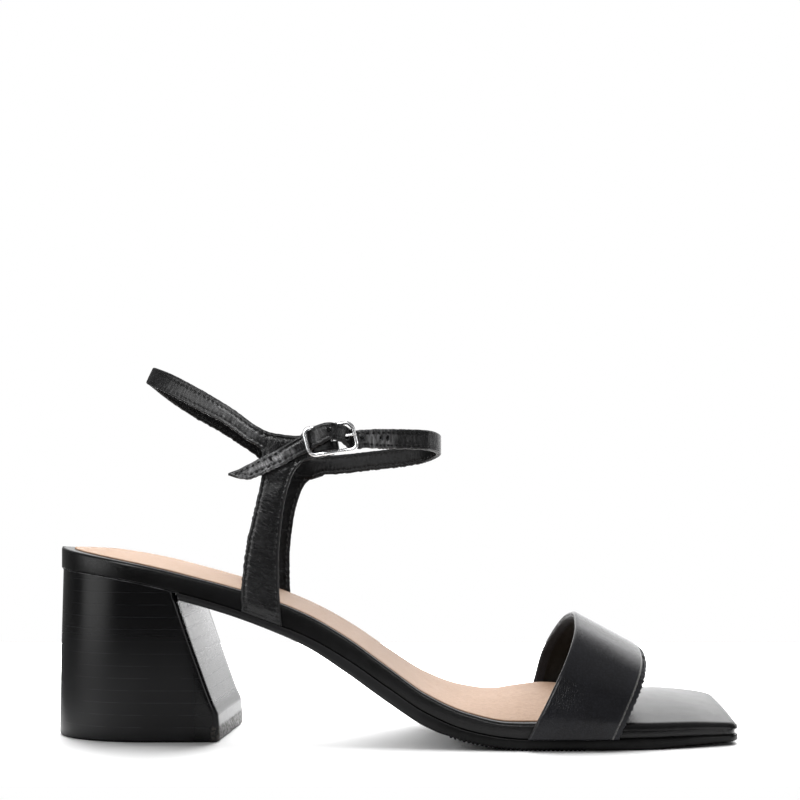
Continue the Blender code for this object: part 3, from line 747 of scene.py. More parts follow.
# Insole sock: bare tan leather, skived thin, glued on the footbed from the heel to
# under the band. Its cut edge is darker, and it lifts a little beside the band.
SOCK_INSET, SOCK_START, SOCK_FRONT = 3.0, 4.6, 72.0
LATERAL_THICKNESS, MEDIAL_THICKNESS = 0.3, 1.15
SOCK_SOFT, SOCK_CLEARANCE = (0.45, 0.05), 0.05
HEEL_PAD, PAD_PLACE, PAD_LENGTH = 0.4, -88.0, 20.0
SWELL, SWELL_PLACE, SWELL_LENGTH, SWELL_SHARE, SWELL_WIDTH = 1.0, 55.0, 9.0, 0.9, 0.12
CREASE, CREASE_PLACE, CREASE_SLANT, CREASE_LENGTH = 0.25, 48.0, 6.0, 2.2
CREASE_SHARE, CREASE_WIDTH = 0.3, 0.2
BACK_DIP, DIP_START, DIP_LENGTH = 0.7, -103.0, 11.0


def sock_side(x, side):
    inside = np.clip((x - HEEL_BACK - SOCK_START) / HEEL_ROUND, 0, 1)
    return (sole(side, x) - SOCK_INSET) * np.sqrt(1 - (1 - inside) ** 2)


def bell(value, middle, width):
    return np.exp(-((value - middle) / width) ** 2)


def sock_top(x, y):
    """The sock's face: a soft pad under the heel and a swelling on the medial side by the band."""
    lateral, medial = sock_side(x, "lateral"), sock_side(x, "medial")
    share = np.clip((y + lateral) / np.maximum(lateral + medial, 0.001), 0, 1)
    pad = np.exp(-((x - PAD_PLACE) / PAD_LENGTH) ** 4) * np.sqrt(np.clip(4 * share * (1 - share), 0, 1))
    swell = bell(x, SWELL_PLACE, SWELL_LENGTH) * bell(share, SWELL_SHARE, SWELL_WIDTH)
    crease = bell(x - CREASE_SLANT * share, CREASE_PLACE, CREASE_LENGTH)
    crease = crease * bell(share, CREASE_SHARE, CREASE_WIDTH)
    dip = np.clip((DIP_START - x) / DIP_LENGTH, 0, 1) * share
    thick = LATERAL_THICKNESS + (MEDIAL_THICKNESS - LATERAL_THICKNESS) * share
    return bed(x, y) + thick + HEEL_PAD * pad + SWELL * swell - CREASE * crease - BACK_DIP * dip


def make_sock():
    return board("insole_sock", stations(HEEL_BACK + SOCK_START, SOCK_FRONT), sock_side,
                 sock_top, lambda x, y: bed(x, y) + SOCK_CLEARANCE, SOCK_SOFT)


def sock_leather():
    """Bare tan leather with open pores and a darker cut edge; painted light makes it paler under the heel,
    and painted shade darkens the waist and the medial side.
    """
    material, paint, ports = new_finish("sock_leather", Specular_IOR_Level=0.3)
    along, across = (spot(paint, axis) for axis in "XY")
    cloud = noise(paint, 18.0, 3.0)
    mottle = noise(paint, 1.6, 4.0)
    grain = pebble(paint, 0.8)
    edge = read_mark(paint, "edge")
    colour = cloud.between(0.25, 0.75).blend((0.258, 0.172, 0.12), (0.294, 0.201, 0.144))
    colour = (0.55 * mottle.between(0.4, 0.65)).blend(colour, (0.228, 0.15, 0.103))
    colour = (0.35 * (1 - grain)).blend(colour, (0.2, 0.129, 0.087))
    # Painted light: the sock is painted paler under the heel.
    colour = (0.36 * (1 - along.between(-95.0, -45.0))).blend(colour, (0.46, 0.33, 0.25))
    # Painted shade: the sock is painted darker at the waist, where it slopes down to the ball.
    painted_waist_shading = along.between(-60.0, -35.0) * (1 - along.between(*WAIST))
    colour = (0.72 * painted_waist_shading).blend(colour, (0.17, 0.116, 0.083))
    # Painted shade: the sock is painted darker towards its medial side.
    colour = (0.3 * across.between(-30.0, 28.0)).blend(colour, (0.1, 0.068, 0.047))
    colour = (0.6 * (1 - edge.between(0.1, 1.4))).blend(colour, (0.21, 0.112, 0.06))
    paint.feed(ports["Base Color"], colour)
    paint.feed(ports["Roughness"], 0.55 + 0.12 * mottle)
    paint.feed(ports["Normal"], relief(paint, 0.03 * grain + 0.03 * noise(paint, 0.4, 2.0) + 0.12 * mottle))
    return material


fit_piece("insole_sock", make_sock(), sock_leather(), "sock_leather", "insole_sock")

# Vamp: a broad band of smooth black leather over the toes, lasted outside the rim
# and down to the outsole. Its back edge is turned in over a brown lining; at the
# front the lining stands out as a narrow stitched binding.
VAMP_WALL, VAMP_ROUND = 2.2, 0.9
BAND_WIDTH, BAND_HALF, BAND_HEART = 29.0, 42.0, (70, 0, 5)
BAND_SAMPLES, GIRTH_STEP, BAND_STEP = 400, 0.7, 1.3
BAND_STITCH, BAND_STITCH_INSET, BAND_STITCH_PITCH = (1.5, 0.5, 0.34), 1.3, 2.1
FRONT_FROM, FRONT_ABOVE = 70.0, 5.5
STITCH_LIFT = 0.02
BINDING_WIDTH, BINDING_STEP, RAW_CUT = 2.1, 0.45, 0.22
TURN_IN, TURN_IN_STEP = 3.6, 0.45
EDGE_STEPS = np.array([0, 0.05, 0.17, 0.36, 0.6, 0.85, 1.1, 1.35, 1.6, 1.9, 2.25, 2.6, 3.0])
ON_SHEET, ROW_AHEAD, ROW_SLACK = 0.95, 0.4, 0.12

# One line of the vamp band from its back edge to its front edge. Reach runs
# from -1 at the lateral rim to +1 at the medial rim; heights are of the outer face.
VampLine = namedtuple("VampLine", "reach back back_z front front_z")
VAMP = [
    VampLine(-1.000, 45.8, 3.8, 76.8, 3.8),
    VampLine(-1.000, 49.6, 11.5, 79.4, 9.2),
    VampLine(-0.945, 55.6, 23.2, 83.4, 17.0),
    VampLine(-0.760, 61.2, 33.8, 87.4, 23.9),
    VampLine(-0.420, 64.9, 41.0, 90.0, 28.4),
    VampLine(0.040, 66.2, 43.9, 90.9, 30.6),
    VampLine(0.470, 65.0, 41.6, 90.5, 30.0),
    VampLine(0.790, 61.4, 34.4, 89.4, 26.2),
    VampLine(0.955, 57.2, 24.2, 87.2, 18.4),
    VampLine(1.000, 54.2, 12.5, 84.8, 10.0),
    VampLine(1.000, 51.2, 4.2, 83.0, 4.1),
]


def edged(length, step):
    """Places from 0 to a length, close together at both ends."""
    last = EDGE_STEPS[-1]
    count = max(int((length - 2 * last) / step), 1)
    middle = np.linspace(last, length - last, count + 1)[1:-1]
    return np.concatenate([EDGE_STEPS, middle, length - EDGE_STEPS[::-1]])


def running_length(points):
    """Length along a line of points up to each of them."""
    return np.append(0, np.cumsum(np.linalg.norm(np.diff(points, axis=0), axis=1)))


def resample(at, keys, rows):
    """Read every column of a table in between its rows."""
    return np.stack([np.interp(at, keys, column) for column in rows.T], -1)


class Sheet:
    """A sheet of leather as points and quads, with its normals, free edges and depth in from them."""

    def __init__(self, points, quads, outward):
        self.points, self.quads = np.asarray(points, float), np.asarray(quads)
        corners = self.points[self.quads]
        facing = np.cross(corners[:, 2] - corners[:, 0], corners[:, 3] - corners[:, 1])
        normal = np.zeros_like(self.points)
        for k in range(4):
            np.add.at(normal, self.quads[:, k], facing)
        normal /= np.maximum(np.linalg.norm(normal, axis=1, keepdims=True), 1e-12)
        if (normal * outward).sum() < 0:
            normal = -normal
            self.quads = self.quads[:, ::-1]
        self.normal = normal
        self.find_edges()

    def find_edges(self):
        """Find the free edges; depth leaves out small holes."""
        sides = np.concatenate([self.quads[:, (k, (k + 1) % 4)] for k in range(4)])
        key = np.sort(sides, 1)
        _, first, count = np.unique(key, axis=0, return_index=True, return_counts=True)
        self.free = sides[first[count == 1]]
        self.on_edge = np.zeros(len(self.points), bool)
        self.on_edge[self.free.ravel()] = True
        share = np.linspace(0, 1, 9)[:-1, None, None]
        rings = [np.stack([ring, np.roll(ring, -1)], 1) for ring in self.loops()]
        sides = np.concatenate(rings)
        a, b = self.points[sides[:, 0]], self.points[sides[:, 1]]
        self.tree = place_tree((a + (b - a) * share).reshape(-1, 3))
        self.depth = distances(self.tree, self.points)
        self.depth[sides.ravel()] = 0.0

    def loops(self, least=60):
        """Each free edge as an ordered ring of point numbers, leaving out small holes."""
        after = dict(self.free.tolist())
        rings = []
        while after:
            start = next(iter(after))
            ring = [start]
            step = after.pop(start)
            while step != start:
                ring.append(step)
                step = after.pop(step)
            if len(ring) >= least:
                rings.append(np.array(ring))
        return rings

    def wall(self, name, outer, inner, marks):
        """Give the sheet its thickness from heights of its two faces, welded at its free edges."""
        within = ~self.on_edge
        inside = np.arange(len(self.points))
        inside[within] = len(self.points) + np.arange(within.sum())
        front = self.points + self.normal * outer[:, None]
        back = (self.points - self.normal * inner[:, None])[within]
        mesh = bpy.data.meshes.new(name)
        quads = np.concatenate([self.quads, inside[self.quads[:, ::-1]]])
        mesh.from_pydata((np.concatenate([front, back]) * MM).tolist(), [], quads.tolist())
        for key, row in {**marks, "edge": self.depth}.items():
            mark_points(mesh, key, np.concatenate([row, row[within]]))
        mark_points(mesh, "face", np.append(np.where(within, 1.0, 0.0), np.full(within.sum(), -1.0)))
        return settle(mesh)

    def row_beside_edge(self, ring, inset, pitch, keep):
        """Points at an even pitch along a line set in from a free edge, with their directions."""
        place, normal = self.points[ring], self.normal[ring]
        tangent = np.roll(place, -1, 0) - np.roll(place, 1, 0)
        tangent /= np.maximum(np.linalg.norm(tangent, axis=1, keepdims=True), 1e-9)
        inward = np.cross(normal, tangent)
        rows = (place + inward * inset, normal, inward)
        line, normal, inward = (np.concatenate([row, row[:1]]) for row in rows)
        keys = running_length(line)
        at = np.arange(pitch / 2, keys[-1], pitch)
        points, ahead = resample(at, keys, line), resample(at + ROW_AHEAD, keys, line)
        out = resample(at, keys, normal)
        rise = np.interp(at, keys, inward[:, 2])
        clear = distances(self.tree, points) > inset - ROW_SLACK
        clear &= distances(place_tree(self.points), points) < ON_SHEET
        clear &= np.array([keep(place, up) for place, up in zip(points, rise)], bool)
        return points[clear], (ahead - points)[clear], out[clear]


def rounded(depth, half, radius):
    """Height of a wall's face over its middle, falling to nothing at a rounded edge."""
    inside = np.clip(depth / radius, 0, 1)
    return half * np.sqrt(1 - (1 - inside) ** 2)


def soft_step(value, low, high):
    share = np.clip((value - low) / (high - low), 0, 1)
    return share * share * (3 - 2 * share)


def vamp_sheet():
    """The band's middle sheet, with how far each point is from its back and front edges."""
    lines = np.arange(len(VAMP))
    columns = dict(zip(VampLine._fields, zip(*VAMP)))
    fine = np.linspace(0, lines[-1], BAND_SAMPLES)
    rough = {key: smooth(lines, column, fine) for key, column in columns.items()}
    girth = running_length(np.stack([rough["back_z"], rough["reach"] * BAND_HALF], 1))
    at = np.interp(edged(girth[-1], GIRTH_STEP), girth, fine)
    row = {key: smooth(lines, column, at)[:, None] for key, column in columns.items()}
    share = edged(BAND_WIDTH, BAND_STEP)[None] / BAND_WIDTH
    turn = np.interp(at, fine, girth)[:, None]
    cut = np.sin(turn * 2.1 + np.sin(turn * 0.53)) + 0.7 * np.sin(turn * 4.4 + 2 * np.sin(turn * 0.37))
    cut = RAW_CUT * cut * soft_step(share, 0.9, 1.0)
    x = row["back"] + (row["front"] - row["back"]) * share + cut
    z = row["back_z"] + (row["front_z"] - row["back_z"]) * share
    reach = np.broadcast_to(row["reach"], x.shape)
    wide = np.where(reach < 0, half_width(x, "lateral"), half_width(x, "medial")) + GAP + VAMP_WALL
    points = np.stack([x, reach * wide, z], 2).reshape(-1, 3)
    quads = patches(np.arange(x.size).reshape(x.shape)).reshape(-1, 4)
    outer = Sheet(points, quads, points - np.array(BAND_HEART))
    length = np.hypot(row["front"] - row["back"], row["front_z"] - row["back_z"])
    back, front = (share * length).ravel(), ((1 - share) * length).ravel()
    middle = Sheet(points - outer.normal * VAMP_WALL / 2, outer.quads, outer.normal)
    return middle, back, front


def make_vamp():
    sheet, back, front = vamp_sheet()
    half = VAMP_WALL / 2
    face = rounded(sheet.depth, half, VAMP_ROUND)
    binding = 1 - soft_step(front, BINDING_WIDTH - 0.12, BINDING_WIDTH + 0.12)
    outer = face * (1 - binding * BINDING_STEP / half)
    turned = 1 - soft_step(back, TURN_IN - 0.3, TURN_IN + 0.3)
    inner = face - TURN_IN_STEP * (1 - turned) * soft_step(sheet.depth, 0.4, 1.2)
    return sheet.wall("vamp_band", outer, inner, {"front": front, "back": back}), sheet


def lining_brown(paint):
    """Suede-like brown-black lining."""
    fuzz = noise(paint, 0.35, 3.0)
    return fuzz.between(0.3, 0.7).blend((0.006, 0.0052, 0.004), (0.014, 0.0115, 0.0088)), fuzz


def vamp_leather():
    material, paint, ports = new_finish("vamp_leather", Specular_IOR_Level=0.19)
    cloud = noise(paint, 14.0, 3.0)
    grain = pebble(paint, 0.75)
    fine = noise(paint, 0.3, 2.0)
    edge, face, front, back = (read_mark(paint, name) for name in ("edge", "face", "front", "back"))
    hidden = 1 - face.between(-0.9, -0.2)
    inside = hidden * back.between(TURN_IN - 0.2, TURN_IN + 0.1)
    binding = 1 - front.between(BINDING_WIDTH - 0.15, BINDING_WIDTH + 0.1)
    cut_edge = front.between(BINDING_WIDTH - 0.3, BINDING_WIDTH) * face.between(0.2, 0.8)
    cut_edge = cut_edge * (1 - front.between(BINDING_WIDTH + 0.1, BINDING_WIDTH + 0.8))
    lining, fuzz = lining_brown(paint)
    colour = cloud.between(0.3, 0.7).blend((0.0125, 0.0125, 0.014), (0.0155, 0.0157, 0.0185))
    colour = (0.5 * noise(paint, 0.7, 3.0).between(0.42, 0.68)).blend(colour, (0.021, 0.0215, 0.026))
    colour = inside.blend(colour, lining)
    # Free edges painted lighter in patches outside the binding: partly wear and partly a painted highlight on
    # the rounded edge.
    wear_and_highlight = (1 - edge.between(0.0, 0.3)) * (1 - binding) * fine.between(0.3, 0.5)
    colour = (0.4 * wear_and_highlight).blend(colour, (0.10, 0.098, 0.095))
    colour = (0.9 * cut_edge * fine.between(0.3, 0.55)).blend(colour, (0.2, 0.198, 0.19))
    paint.feed(ports["Base Color"], colour)
    paint.feed(ports["Roughness"], 0.13 + 0.06 * cloud + 0.4 * hidden + 0.25 * binding)
    height = 0.022 * grain + 0.012 * fine + 0.12 * noise(paint, 12.0, 1.0) + 0.09 * fuzz * inside
    paint.feed(ports["Normal"], relief(paint, height + 0.12 * binding * noise(paint, 0.8, 3.0)))
    return material


def waxed_thread():
    material, paint, ports = new_finish("waxed_thread", Specular_IOR_Level=0.25)
    strand = noise(paint, 0.22, 2.0)
    colour = strand.between(0.3, 0.7).blend((0.005, 0.005, 0.005), (0.011, 0.011, 0.011))
    paint.feed(ports["Base Color"], colour)
    paint.feed(ports["Roughness"], 0.5 + 0.1 * strand)
    return material


vamp_mesh, VAMP_SHEET = make_vamp()
VAMP_LEATHER = vamp_leather()
WAXED_THREAD = waxed_thread()
OVAL_COPIES = copies_tool("oval_copies", "GeometryNodeMeshUVSphere",
                          {"Segments": 8, "Rings": 7, "Radius": 0.5},
                          ("out", "along"), ("length", "Width", "Height"))
fit_piece("vamp_band", vamp_mesh, VAMP_LEATHER, "upper_leather", "vamp_strap")


def lay_stitches(name, rows, rise, stitch, slot):
    """Sew rows of stitches, each row as points, directions and outward normals."""
    points, along, out = (np.concatenate([row[k] for row in rows]) for k in range(3))
    mesh = run_tool(name, OVAL_COPIES, WAXED_THREAD, {"Width": stitch[1], "Height": stitch[2]},
                    points + out * rise, along, out, np.full(len(points), stitch[0]))
    return fit_piece(name, mesh, WAXED_THREAD, slot)


def on_vamp_front(place, rise):
    """Whether a place beside the band's free edge is on its front edge."""
    return place[0] > FRONT_FROM and place[2] > FRONT_ABOVE


band_rows = [VAMP_SHEET.row_beside_edge(ring, BAND_STITCH_INSET, BAND_STITCH_PITCH, on_vamp_front)
             for ring in VAMP_SHEET.loops()]
lay_stitches("vamp_stitches", band_rows, VAMP_WALL / 2 - BINDING_STEP + STITCH_LIFT, BAND_STITCH,
             "upper_leather")

# Quarter: both posts, the heel strap, the buckle's chape and the ankle strap, cut
# as one long piece of soft leather over a black lining. The edges are turned and
# sewn with a row of stitches just inside them; wear has wrinkled it across.
STRAP_WALL, STRAP_ROUND = 1.8, 0.75
STRAP_WIDTH, STRAP_STEP, ACROSS_STEP = 7.0, 0.48, 0.4
STITCH_INSET, STITCH_TROUGH, STITCH_PITCH = 1.35, 0.24, 2.2
STRAP_STITCH = (1.35, 0.48, 0.36)
STITCH_RISE, LINING_TROUGH = 0.03, 0.7
UNSEWN_REACH, UNSEWN_OUT, UNSEWN_ABOVE, UNSEWN_FOOT = 10.5, -29.0, 95.0, 1.6
HEEL_STRAP_FROM, HEEL_STRAP_INSET = -50.0, 1.7
RAW_EDGE, POST_RAW_EDGE = 0.06, 0.2
WRINKLE, PILLOW = 0.06, 0.13
LEAST_CALM, LEAST_SKIVED, SKIVED_HEIGHT = 0.12, 0.3, 5.0
SEAM_SHARE, SEAM_WIDTH, DIMPLE_SHARE, DIMPLE_WIDTH = 0.3, 0.32, 0.8, 0.75
WORN_FLAT, POST_FLAT = 0.75, 0.6
HOLE_FACE, HOLE_ROUND = 1.4, 0.4
HOLE_BACK, BACK_HEIGHT, BACK_DEPTH = 2.6, 0.5, 0.3
POST_LEVELS, POST_CROWN, POST_HALF = 120, 0.35, 6.5
POST_HEIGHT, POST_WIDTH, POST_TOP_WIDTH, POST_STEP = 55.0, 13.0, 15.0, 0.9
POST_BELOW, POST_FADE = 92.0, 6.0
FOLD_BACK, FOLD_FRONT = (-84.0, -72.0), (8.0, 14.0)
BUCKLE_REACH, BUCKLE_FADE = 11.5, 2.0
HEEL_SHEEN, FRONT_SHEEN, HUMP_SHEEN, LEAST_SHEEN = 0.4, 0.85, 0.2, 0.03
BUCKLE_CENTRE = (-21.4, -34.6, 105.7)
BUCKLE_TILT = math.radians(8.6)

# Middle line of the strap that starts behind the buckle, goes back over the
# lateral post, round the heel, over the medial post and forward round the instep.
# Tilt leans the top edge in towards the leg, in degrees.
StrapRow = namedtuple("StrapRow", "x y z width tilt", defaults=(0.0,))
QUARTER = [
    StrapRow(-20.2, -31.5, 103.9, 6.4),
    StrapRow(-27.0, -30.4, 103.2, 7.6),
    StrapRow(-33.5, -30.3, 103.2, 8.0),
    StrapRow(-39.5, -30.4, 104.0, 7.6),
    StrapRow(-46.0, -30.2, 106.6, 6.0),
    StrapRow(-58.0, -26.4, 114.6, 6.2, 3.0),
    StrapRow(-69.4, -19.6, 120.8, 7.0, 8.0),
    StrapRow(-81.2, -10.0, 126.8, 6.9, 18.0),
    StrapRow(-87.6, 0.0, 129.4, 6.6, 25.0),
    StrapRow(-82.6, 10.0, 124.6, 6.2, 18.0),
    StrapRow(-73.9, 18.4, 118.2, 6.2, 8.0),
    StrapRow(-63.7, 24.4, 112.0, 5.8, 3.0),
    StrapRow(-52.4, 28.4, 104.7, 6.2),
    StrapRow(-46.0, 29.4, 100.4, 7.2),
    StrapRow(-39.5, 29.8, 98.0, 7.8),
    StrapRow(-33.0, 29.6, 97.2, 7.8),
    StrapRow(-26.0, 28.0, 97.2, 7.4),
    StrapRow(-8.0, 19.4, 98.7, 7.2),
    StrapRow(4.0, 11.6, 100.1, 7.2),
    StrapRow(12.4, 4.4, 101.8, 7.2),
    StrapRow(16.6, -4.6, 104.2, 7.2),
    StrapRow(12.6, -14.0, 105.8, 7.2),
    StrapRow(4.0, -22.6, 106.1, 7.0),
    StrapRow(-4.0, -29.0, 106.1, 7.0),
]
LATERAL_POST_ROWS = (1, 4)
MEDIAL_POST_ROWS = (13, 16)
FRONT_ROW = 20
HOLE_STEPS = np.linspace(-1.2, 1.2, 13)
TURNED = [0, 3, 2, 1]

# Way of the strap through the buckle: under the front bar, over the middle
# bar and under the rear bar, with the distance from the buckle's plane.
PassRow = namedtuple("PassRow", "along out z width")
BUCKLE_PASS = [
    PassRow(11.6, -2.1, 106.0, 6.4),
    PassRow(8.2, -2.1, 105.6, 6.6),
    PassRow(4.0, 2.0, 107.9, 5.8),
    PassRow(0.0, 3.2, 108.6, 6.0),
    PassRow(-4.0, 2.2, 107.2, 6.8),
    PassRow(-7.2, -1.5, 105.6, 7.2),
    PassRow(-9.3, -2.1, 104.2, 6.2),
    PassRow(-11.8, -2.1, 103.0, 6.0),
]
TAIL = [
    StrapRow(-38.4, -33.1, 99.8, 5.8, 14.0),
    StrapRow(-44.8, -33.0, 96.7, 5.8, 18.0),
    StrapRow(-49.4, -32.3, 94.6, 5.4, 18.0),
    StrapRow(-53.0, -31.4, 93.9, 3.3, 16.0),
    StrapRow(-56.7, -30.4, 93.8, 0.8, 14.0),
]

# A hole punched through the near run of the strap: its place along the foot, how far
# it is above the strap's middle line, and its radius.
PunchHole = namedtuple("PunchHole", "x rise radius")
PUNCH_HOLES = [
    PunchHole(-2.2, 0.4, 0.55),
    PunchHole(-4.4, 0.4, 0.55),
    PunchHole(-10.4, 0.5, 0.65),
    PunchHole(-16.0, -0.4, 0.8),
    PunchHole(-21.5, 0.5, 0.8),
    PunchHole(-41.5, 0.6, 0.3),
]

# A level of either post, from the strap (drop 0) to the sole (drop 1), with its
# edges along the foot and how far it leans out from the rim.
PostLevel = namedtuple("PostLevel", "drop back front lean")
POST = [
    PostLevel(0.025, -45.2, -31.0, 2.2),
    PostLevel(0.065, -45.1, -33.4, 2.2),
    PostLevel(0.155, -45.1, -35.7, 2.1),
    PostLevel(0.340, -47.3, -38.0, 1.7),
    PostLevel(0.610, -50.8, -39.3, 1.0),
    PostLevel(0.780, -52.0, -39.2, 0.3),
    PostLevel(0.850, -52.4, -39.0, 0.0),
    PostLevel(1.000, -52.4, -38.4, -0.6),
]


def strap_rows():
    x, y = BUCKLE_CENTRE[:2]
    passing = [StrapRow(x + row.along * math.cos(BUCKLE_TILT), y - row.out, row.z, row.width)
               for row in BUCKLE_PASS]
    return QUARTER + passing + TAIL


def strap_places(keys, hole_runs, post_share):
    """Places along the strap, close at its ends and holes, and those that each post hangs from."""
    stops = [0, *LATERAL_POST_ROWS, *MEDIAL_POST_ROWS, len(keys) - 1]
    parts, spans = [], {}
    for first, last in zip(stops, stops[1:]):
        low, length = keys[first], keys[last] - keys[first]
        if (first, last) in (LATERAL_POST_ROWS, MEDIAL_POST_ROWS):
            begin = sum(map(len, parts))
            spans[first, last] = slice(begin, begin + len(post_share))
            part = low + length * post_share
        elif first == 0:
            part = np.append(edged(length, POST_STEP)[:1 - len(EDGE_STEPS)], length)
        elif last == stops[-1]:
            part = low + edged(length, STRAP_STEP)[len(EDGE_STEPS) - 1:]
            part[0] = low
            part = np.unique(np.concatenate([part, *(run + HOLE_STEPS for run in hole_runs)]).round(3))
        else:
            part = np.linspace(low, keys[last], int(length / STRAP_STEP) + 1)
        parts.append(part[:-1])
    return np.concatenate([*parts, part[-1:]]), spans


def quarter_sheet():
    """The strap as one ribbon with both posts hung on its lower edge."""
    table = np.array(strap_rows())
    keys = running_length(table[:, :3])
    near_run = np.linspace(keys[FRONT_ROW], keys[-1], 3000)
    hole_runs = np.interp([-hole.x for hole in PUNCH_HOLES], -smooth(keys, table[:, 0], near_run), near_run)
    post_share = edged(POST_TOP_WIDTH, POST_STEP) / POST_TOP_WIDTH
    at, spans = strap_places(keys, hole_runs, post_share)
    fine = np.stack([smooth(keys, column, at) for column in table.T], 1)
    middle, width, tilt = fine[:, :3], fine[:, 3:4], np.radians(fine[:, 4:5])
    way = np.gradient(middle, axis=0)
    way /= np.linalg.norm(way, axis=1, keepdims=True)
    inward = np.stack([way[:, 1], -way[:, 0], np.zeros(len(way))], 1)
    inward /= np.linalg.norm(inward, axis=1, keepdims=True)
    up = np.cross(inward, way) * np.cos(tilt) + inward * np.sin(tilt)
    share = edged(STRAP_WIDTH, ACROSS_STEP) / STRAP_WIDTH - 0.5
    run, rise = np.broadcast_arrays(at[:, None], width * share)
    calm = bends(middle)[:, None]
    rise = rise * (1 + RAW_EDGE * calm * np.abs(share * 2) ** 3 * edge_wobble(run, share))
    run, rise, kept = punch(run, rise, hole_runs)
    place, lean = (resample(run, at, rows) for rows in (middle, up))
    points = (place + lean * rise[:, :, None]).reshape(-1, 3)
    number = np.arange(rise.size).reshape(rise.shape)
    quads = [patches(number)[kept][:, TURNED]]
    outward = [np.repeat(-inward, rise.shape[1], 0)]
    stack, runs, across = [points], [run.ravel()], [rise.ravel()]
    for side, sign, span in (("lateral", -1, LATERAL_POST_ROWS), ("medial", 1, MEDIAL_POST_ROWS)):
        top = number[spans[span], 0]
        if points[top[0], 0] > points[top[-1], 0]:
            top = top[::-1]
        post, levels = hang_post(points[top], side, sign, post_share)
        many, count = post.shape[:2]
        below = sum(map(len, stack)) + np.arange(many * count).reshape(many, count)
        face = patches(np.concatenate([top[None], below])).reshape(-1, 4)
        quads.append(face[:, ::-1] if side == "medial" else face)
        stack.append(post.reshape(-1, 3))
        outward.append(np.tile((0.0, sign, 0.0), (many * count, 1)))
        runs.append(np.repeat(levels * POST_HEIGHT, count))
        across.append(np.tile((post_share - 0.5) * POST_WIDTH, many))
    sheet = Sheet(np.concatenate(stack), np.concatenate(quads), np.concatenate(outward))
    centre, above, back = (resample(hole_runs, at, rows) for rows in (middle, up, inward))
    places = centre + above * np.array([[hole.rise] for hole in PUNCH_HOLES])
    return sheet, np.concatenate(runs), np.concatenate(across), places, -back


def bends(points):
    """0 where the strap folds round behind the heel and over the instep, 1 between."""
    return soft_step(points[:, 0], *FOLD_BACK) * (1 - soft_step(points[:, 0], *FOLD_FRONT))


def edge_wobble(run, share):
    """Uneven cut of the strap's two edges, between -1 and 1, rougher along the lower one."""
    side, rough = np.where(share > 0, 1.7, 0.0), np.where(share > 0, 0.35, 1.0)
    slow = np.sin(run * 1.3 + side + 2.3 * np.sin(run * 0.31) + 1.1 * np.sin(run * 0.83))
    fine = np.sin(run * 3.1 + 2.1 * side + 2.0 * np.sin(run * 0.57))
    return rough * (0.5 * slow + 0.5 * fine * np.sin(run * 0.23 + side))


def punch(run, rise, hole_runs):
    """Open round holes in the strap's grid: draw the nearest points onto them and drop the quads inside."""
    run, rise = run.copy(), rise.copy()
    kept = np.ones((run.shape[0] - 1, run.shape[1] - 1), bool)
    for hole, centre in zip(PUNCH_HOLES, hole_runs):
        along, above = run - centre, rise - hole.rise
        reach = np.hypot(along, above)
        inside = reach < hole.radius
        gone = inside[:-1, :-1] | inside[1:, :-1] | inside[1:, 1:] | inside[:-1, 1:]
        kept &= ~gone
        rim = np.zeros_like(inside)
        for part in (rim[:-1, :-1], rim[1:, :-1], rim[1:, 1:], rim[:-1, 1:]):
            part |= gone
        rim &= ~inside
        run[rim] = centre + along[rim] * hole.radius / reach[rim]
        rise[rim] = hole.rise + above[rim] * hole.radius / reach[rim]
    return run, rise, kept


def hang_post(top, side, sign, share):
    """Levels of one post below the strap's lower edge, down to the sole."""
    drops = np.array([level.drop for level in POST])
    foot = 1 - EDGE_STEPS[::-1] / POST_HEIGHT
    levels = np.concatenate([np.linspace(0, foot[0], POST_LEVELS)[1:-1], foot])
    read = {key: smooth(drops, column, np.maximum(levels, drops[0]))[:, None]
            for key, column in zip(PostLevel._fields, zip(*POST))}
    start = np.clip(levels / drops[0], 0, 1)[:, None]
    x = read["back"] + (read["front"] - read["back"]) * share[None]
    wobble = edge_wobble(levels[:, None] * POST_HEIGHT, share[None] - 0.5)
    x = x + POST_RAW_EDGE * (2 * share[None] - 1) ** 5 * wobble
    rim = half_width(x, side) + GAP + STRAP_WALL / 2 + read["lean"]
    z = top[None, :, 2] + levels[:, None] * (sole("seat", x) - top[None, :, 2])
    x = top[None, :, 0] * (1 - start) + x * start
    y = top[None, :, 1] * (1 - start) + sign * rim * start
    return np.stack([x, y, z], 2), levels


def near_buckle(points):
    """1 where the strap runs through the buckle, fading out on both sides."""
    x, y = points[:, 0], points[:, 1]
    return soft_step(BUCKLE_REACH - np.abs(x - BUCKLE_CENTRE[0]), 0, BUCKLE_FADE) * (y < 0)


def wrinkles(run, side):
    """Creases across the strap, between -1 and 1, uneven along it."""
    bend = run + 0.22 * side * np.sin(run * 0.41) + 0.5 * np.sin(run * 0.83)
    fine = np.sin(bend * 3.1 + 0.6 * np.sin(side * 1.3 + run * 0.6))
    return fine * (0.6 + 0.4 * np.sin(run * 0.37 + 1.0)) + 0.5 * np.sin(bend * 1.3 + side * 0.5)


def wear_and_painted_sheen(points):
    """Where the strap gets a painted sheen and wear flattens its wrinkles: its tail, the near heel strap and
    beside the buckle.
    """
    x, y, z = points.T
    near = soft_step(-y, 14, 24)
    tail = soft_step(-x, 30, 36) * soft_step(-y, 31.2, 32.0) * soft_step(104 - z, 0, 3)
    heel = HEEL_SHEEN * soft_step(-x, 42, 48) * soft_step(z, 99, 103)
    front = FRONT_SHEEN * soft_step(x, -12.5, -10) * soft_step(2 - x, 0, 5)
    hump = HUMP_SHEEN * soft_step(6.5 - np.abs(x - BUCKLE_CENTRE[0]), 0, 2) * soft_step(z, 104, 106)
    return np.maximum(near * np.maximum.reduce([tail, heel, front, hump]), LEAST_SHEEN)


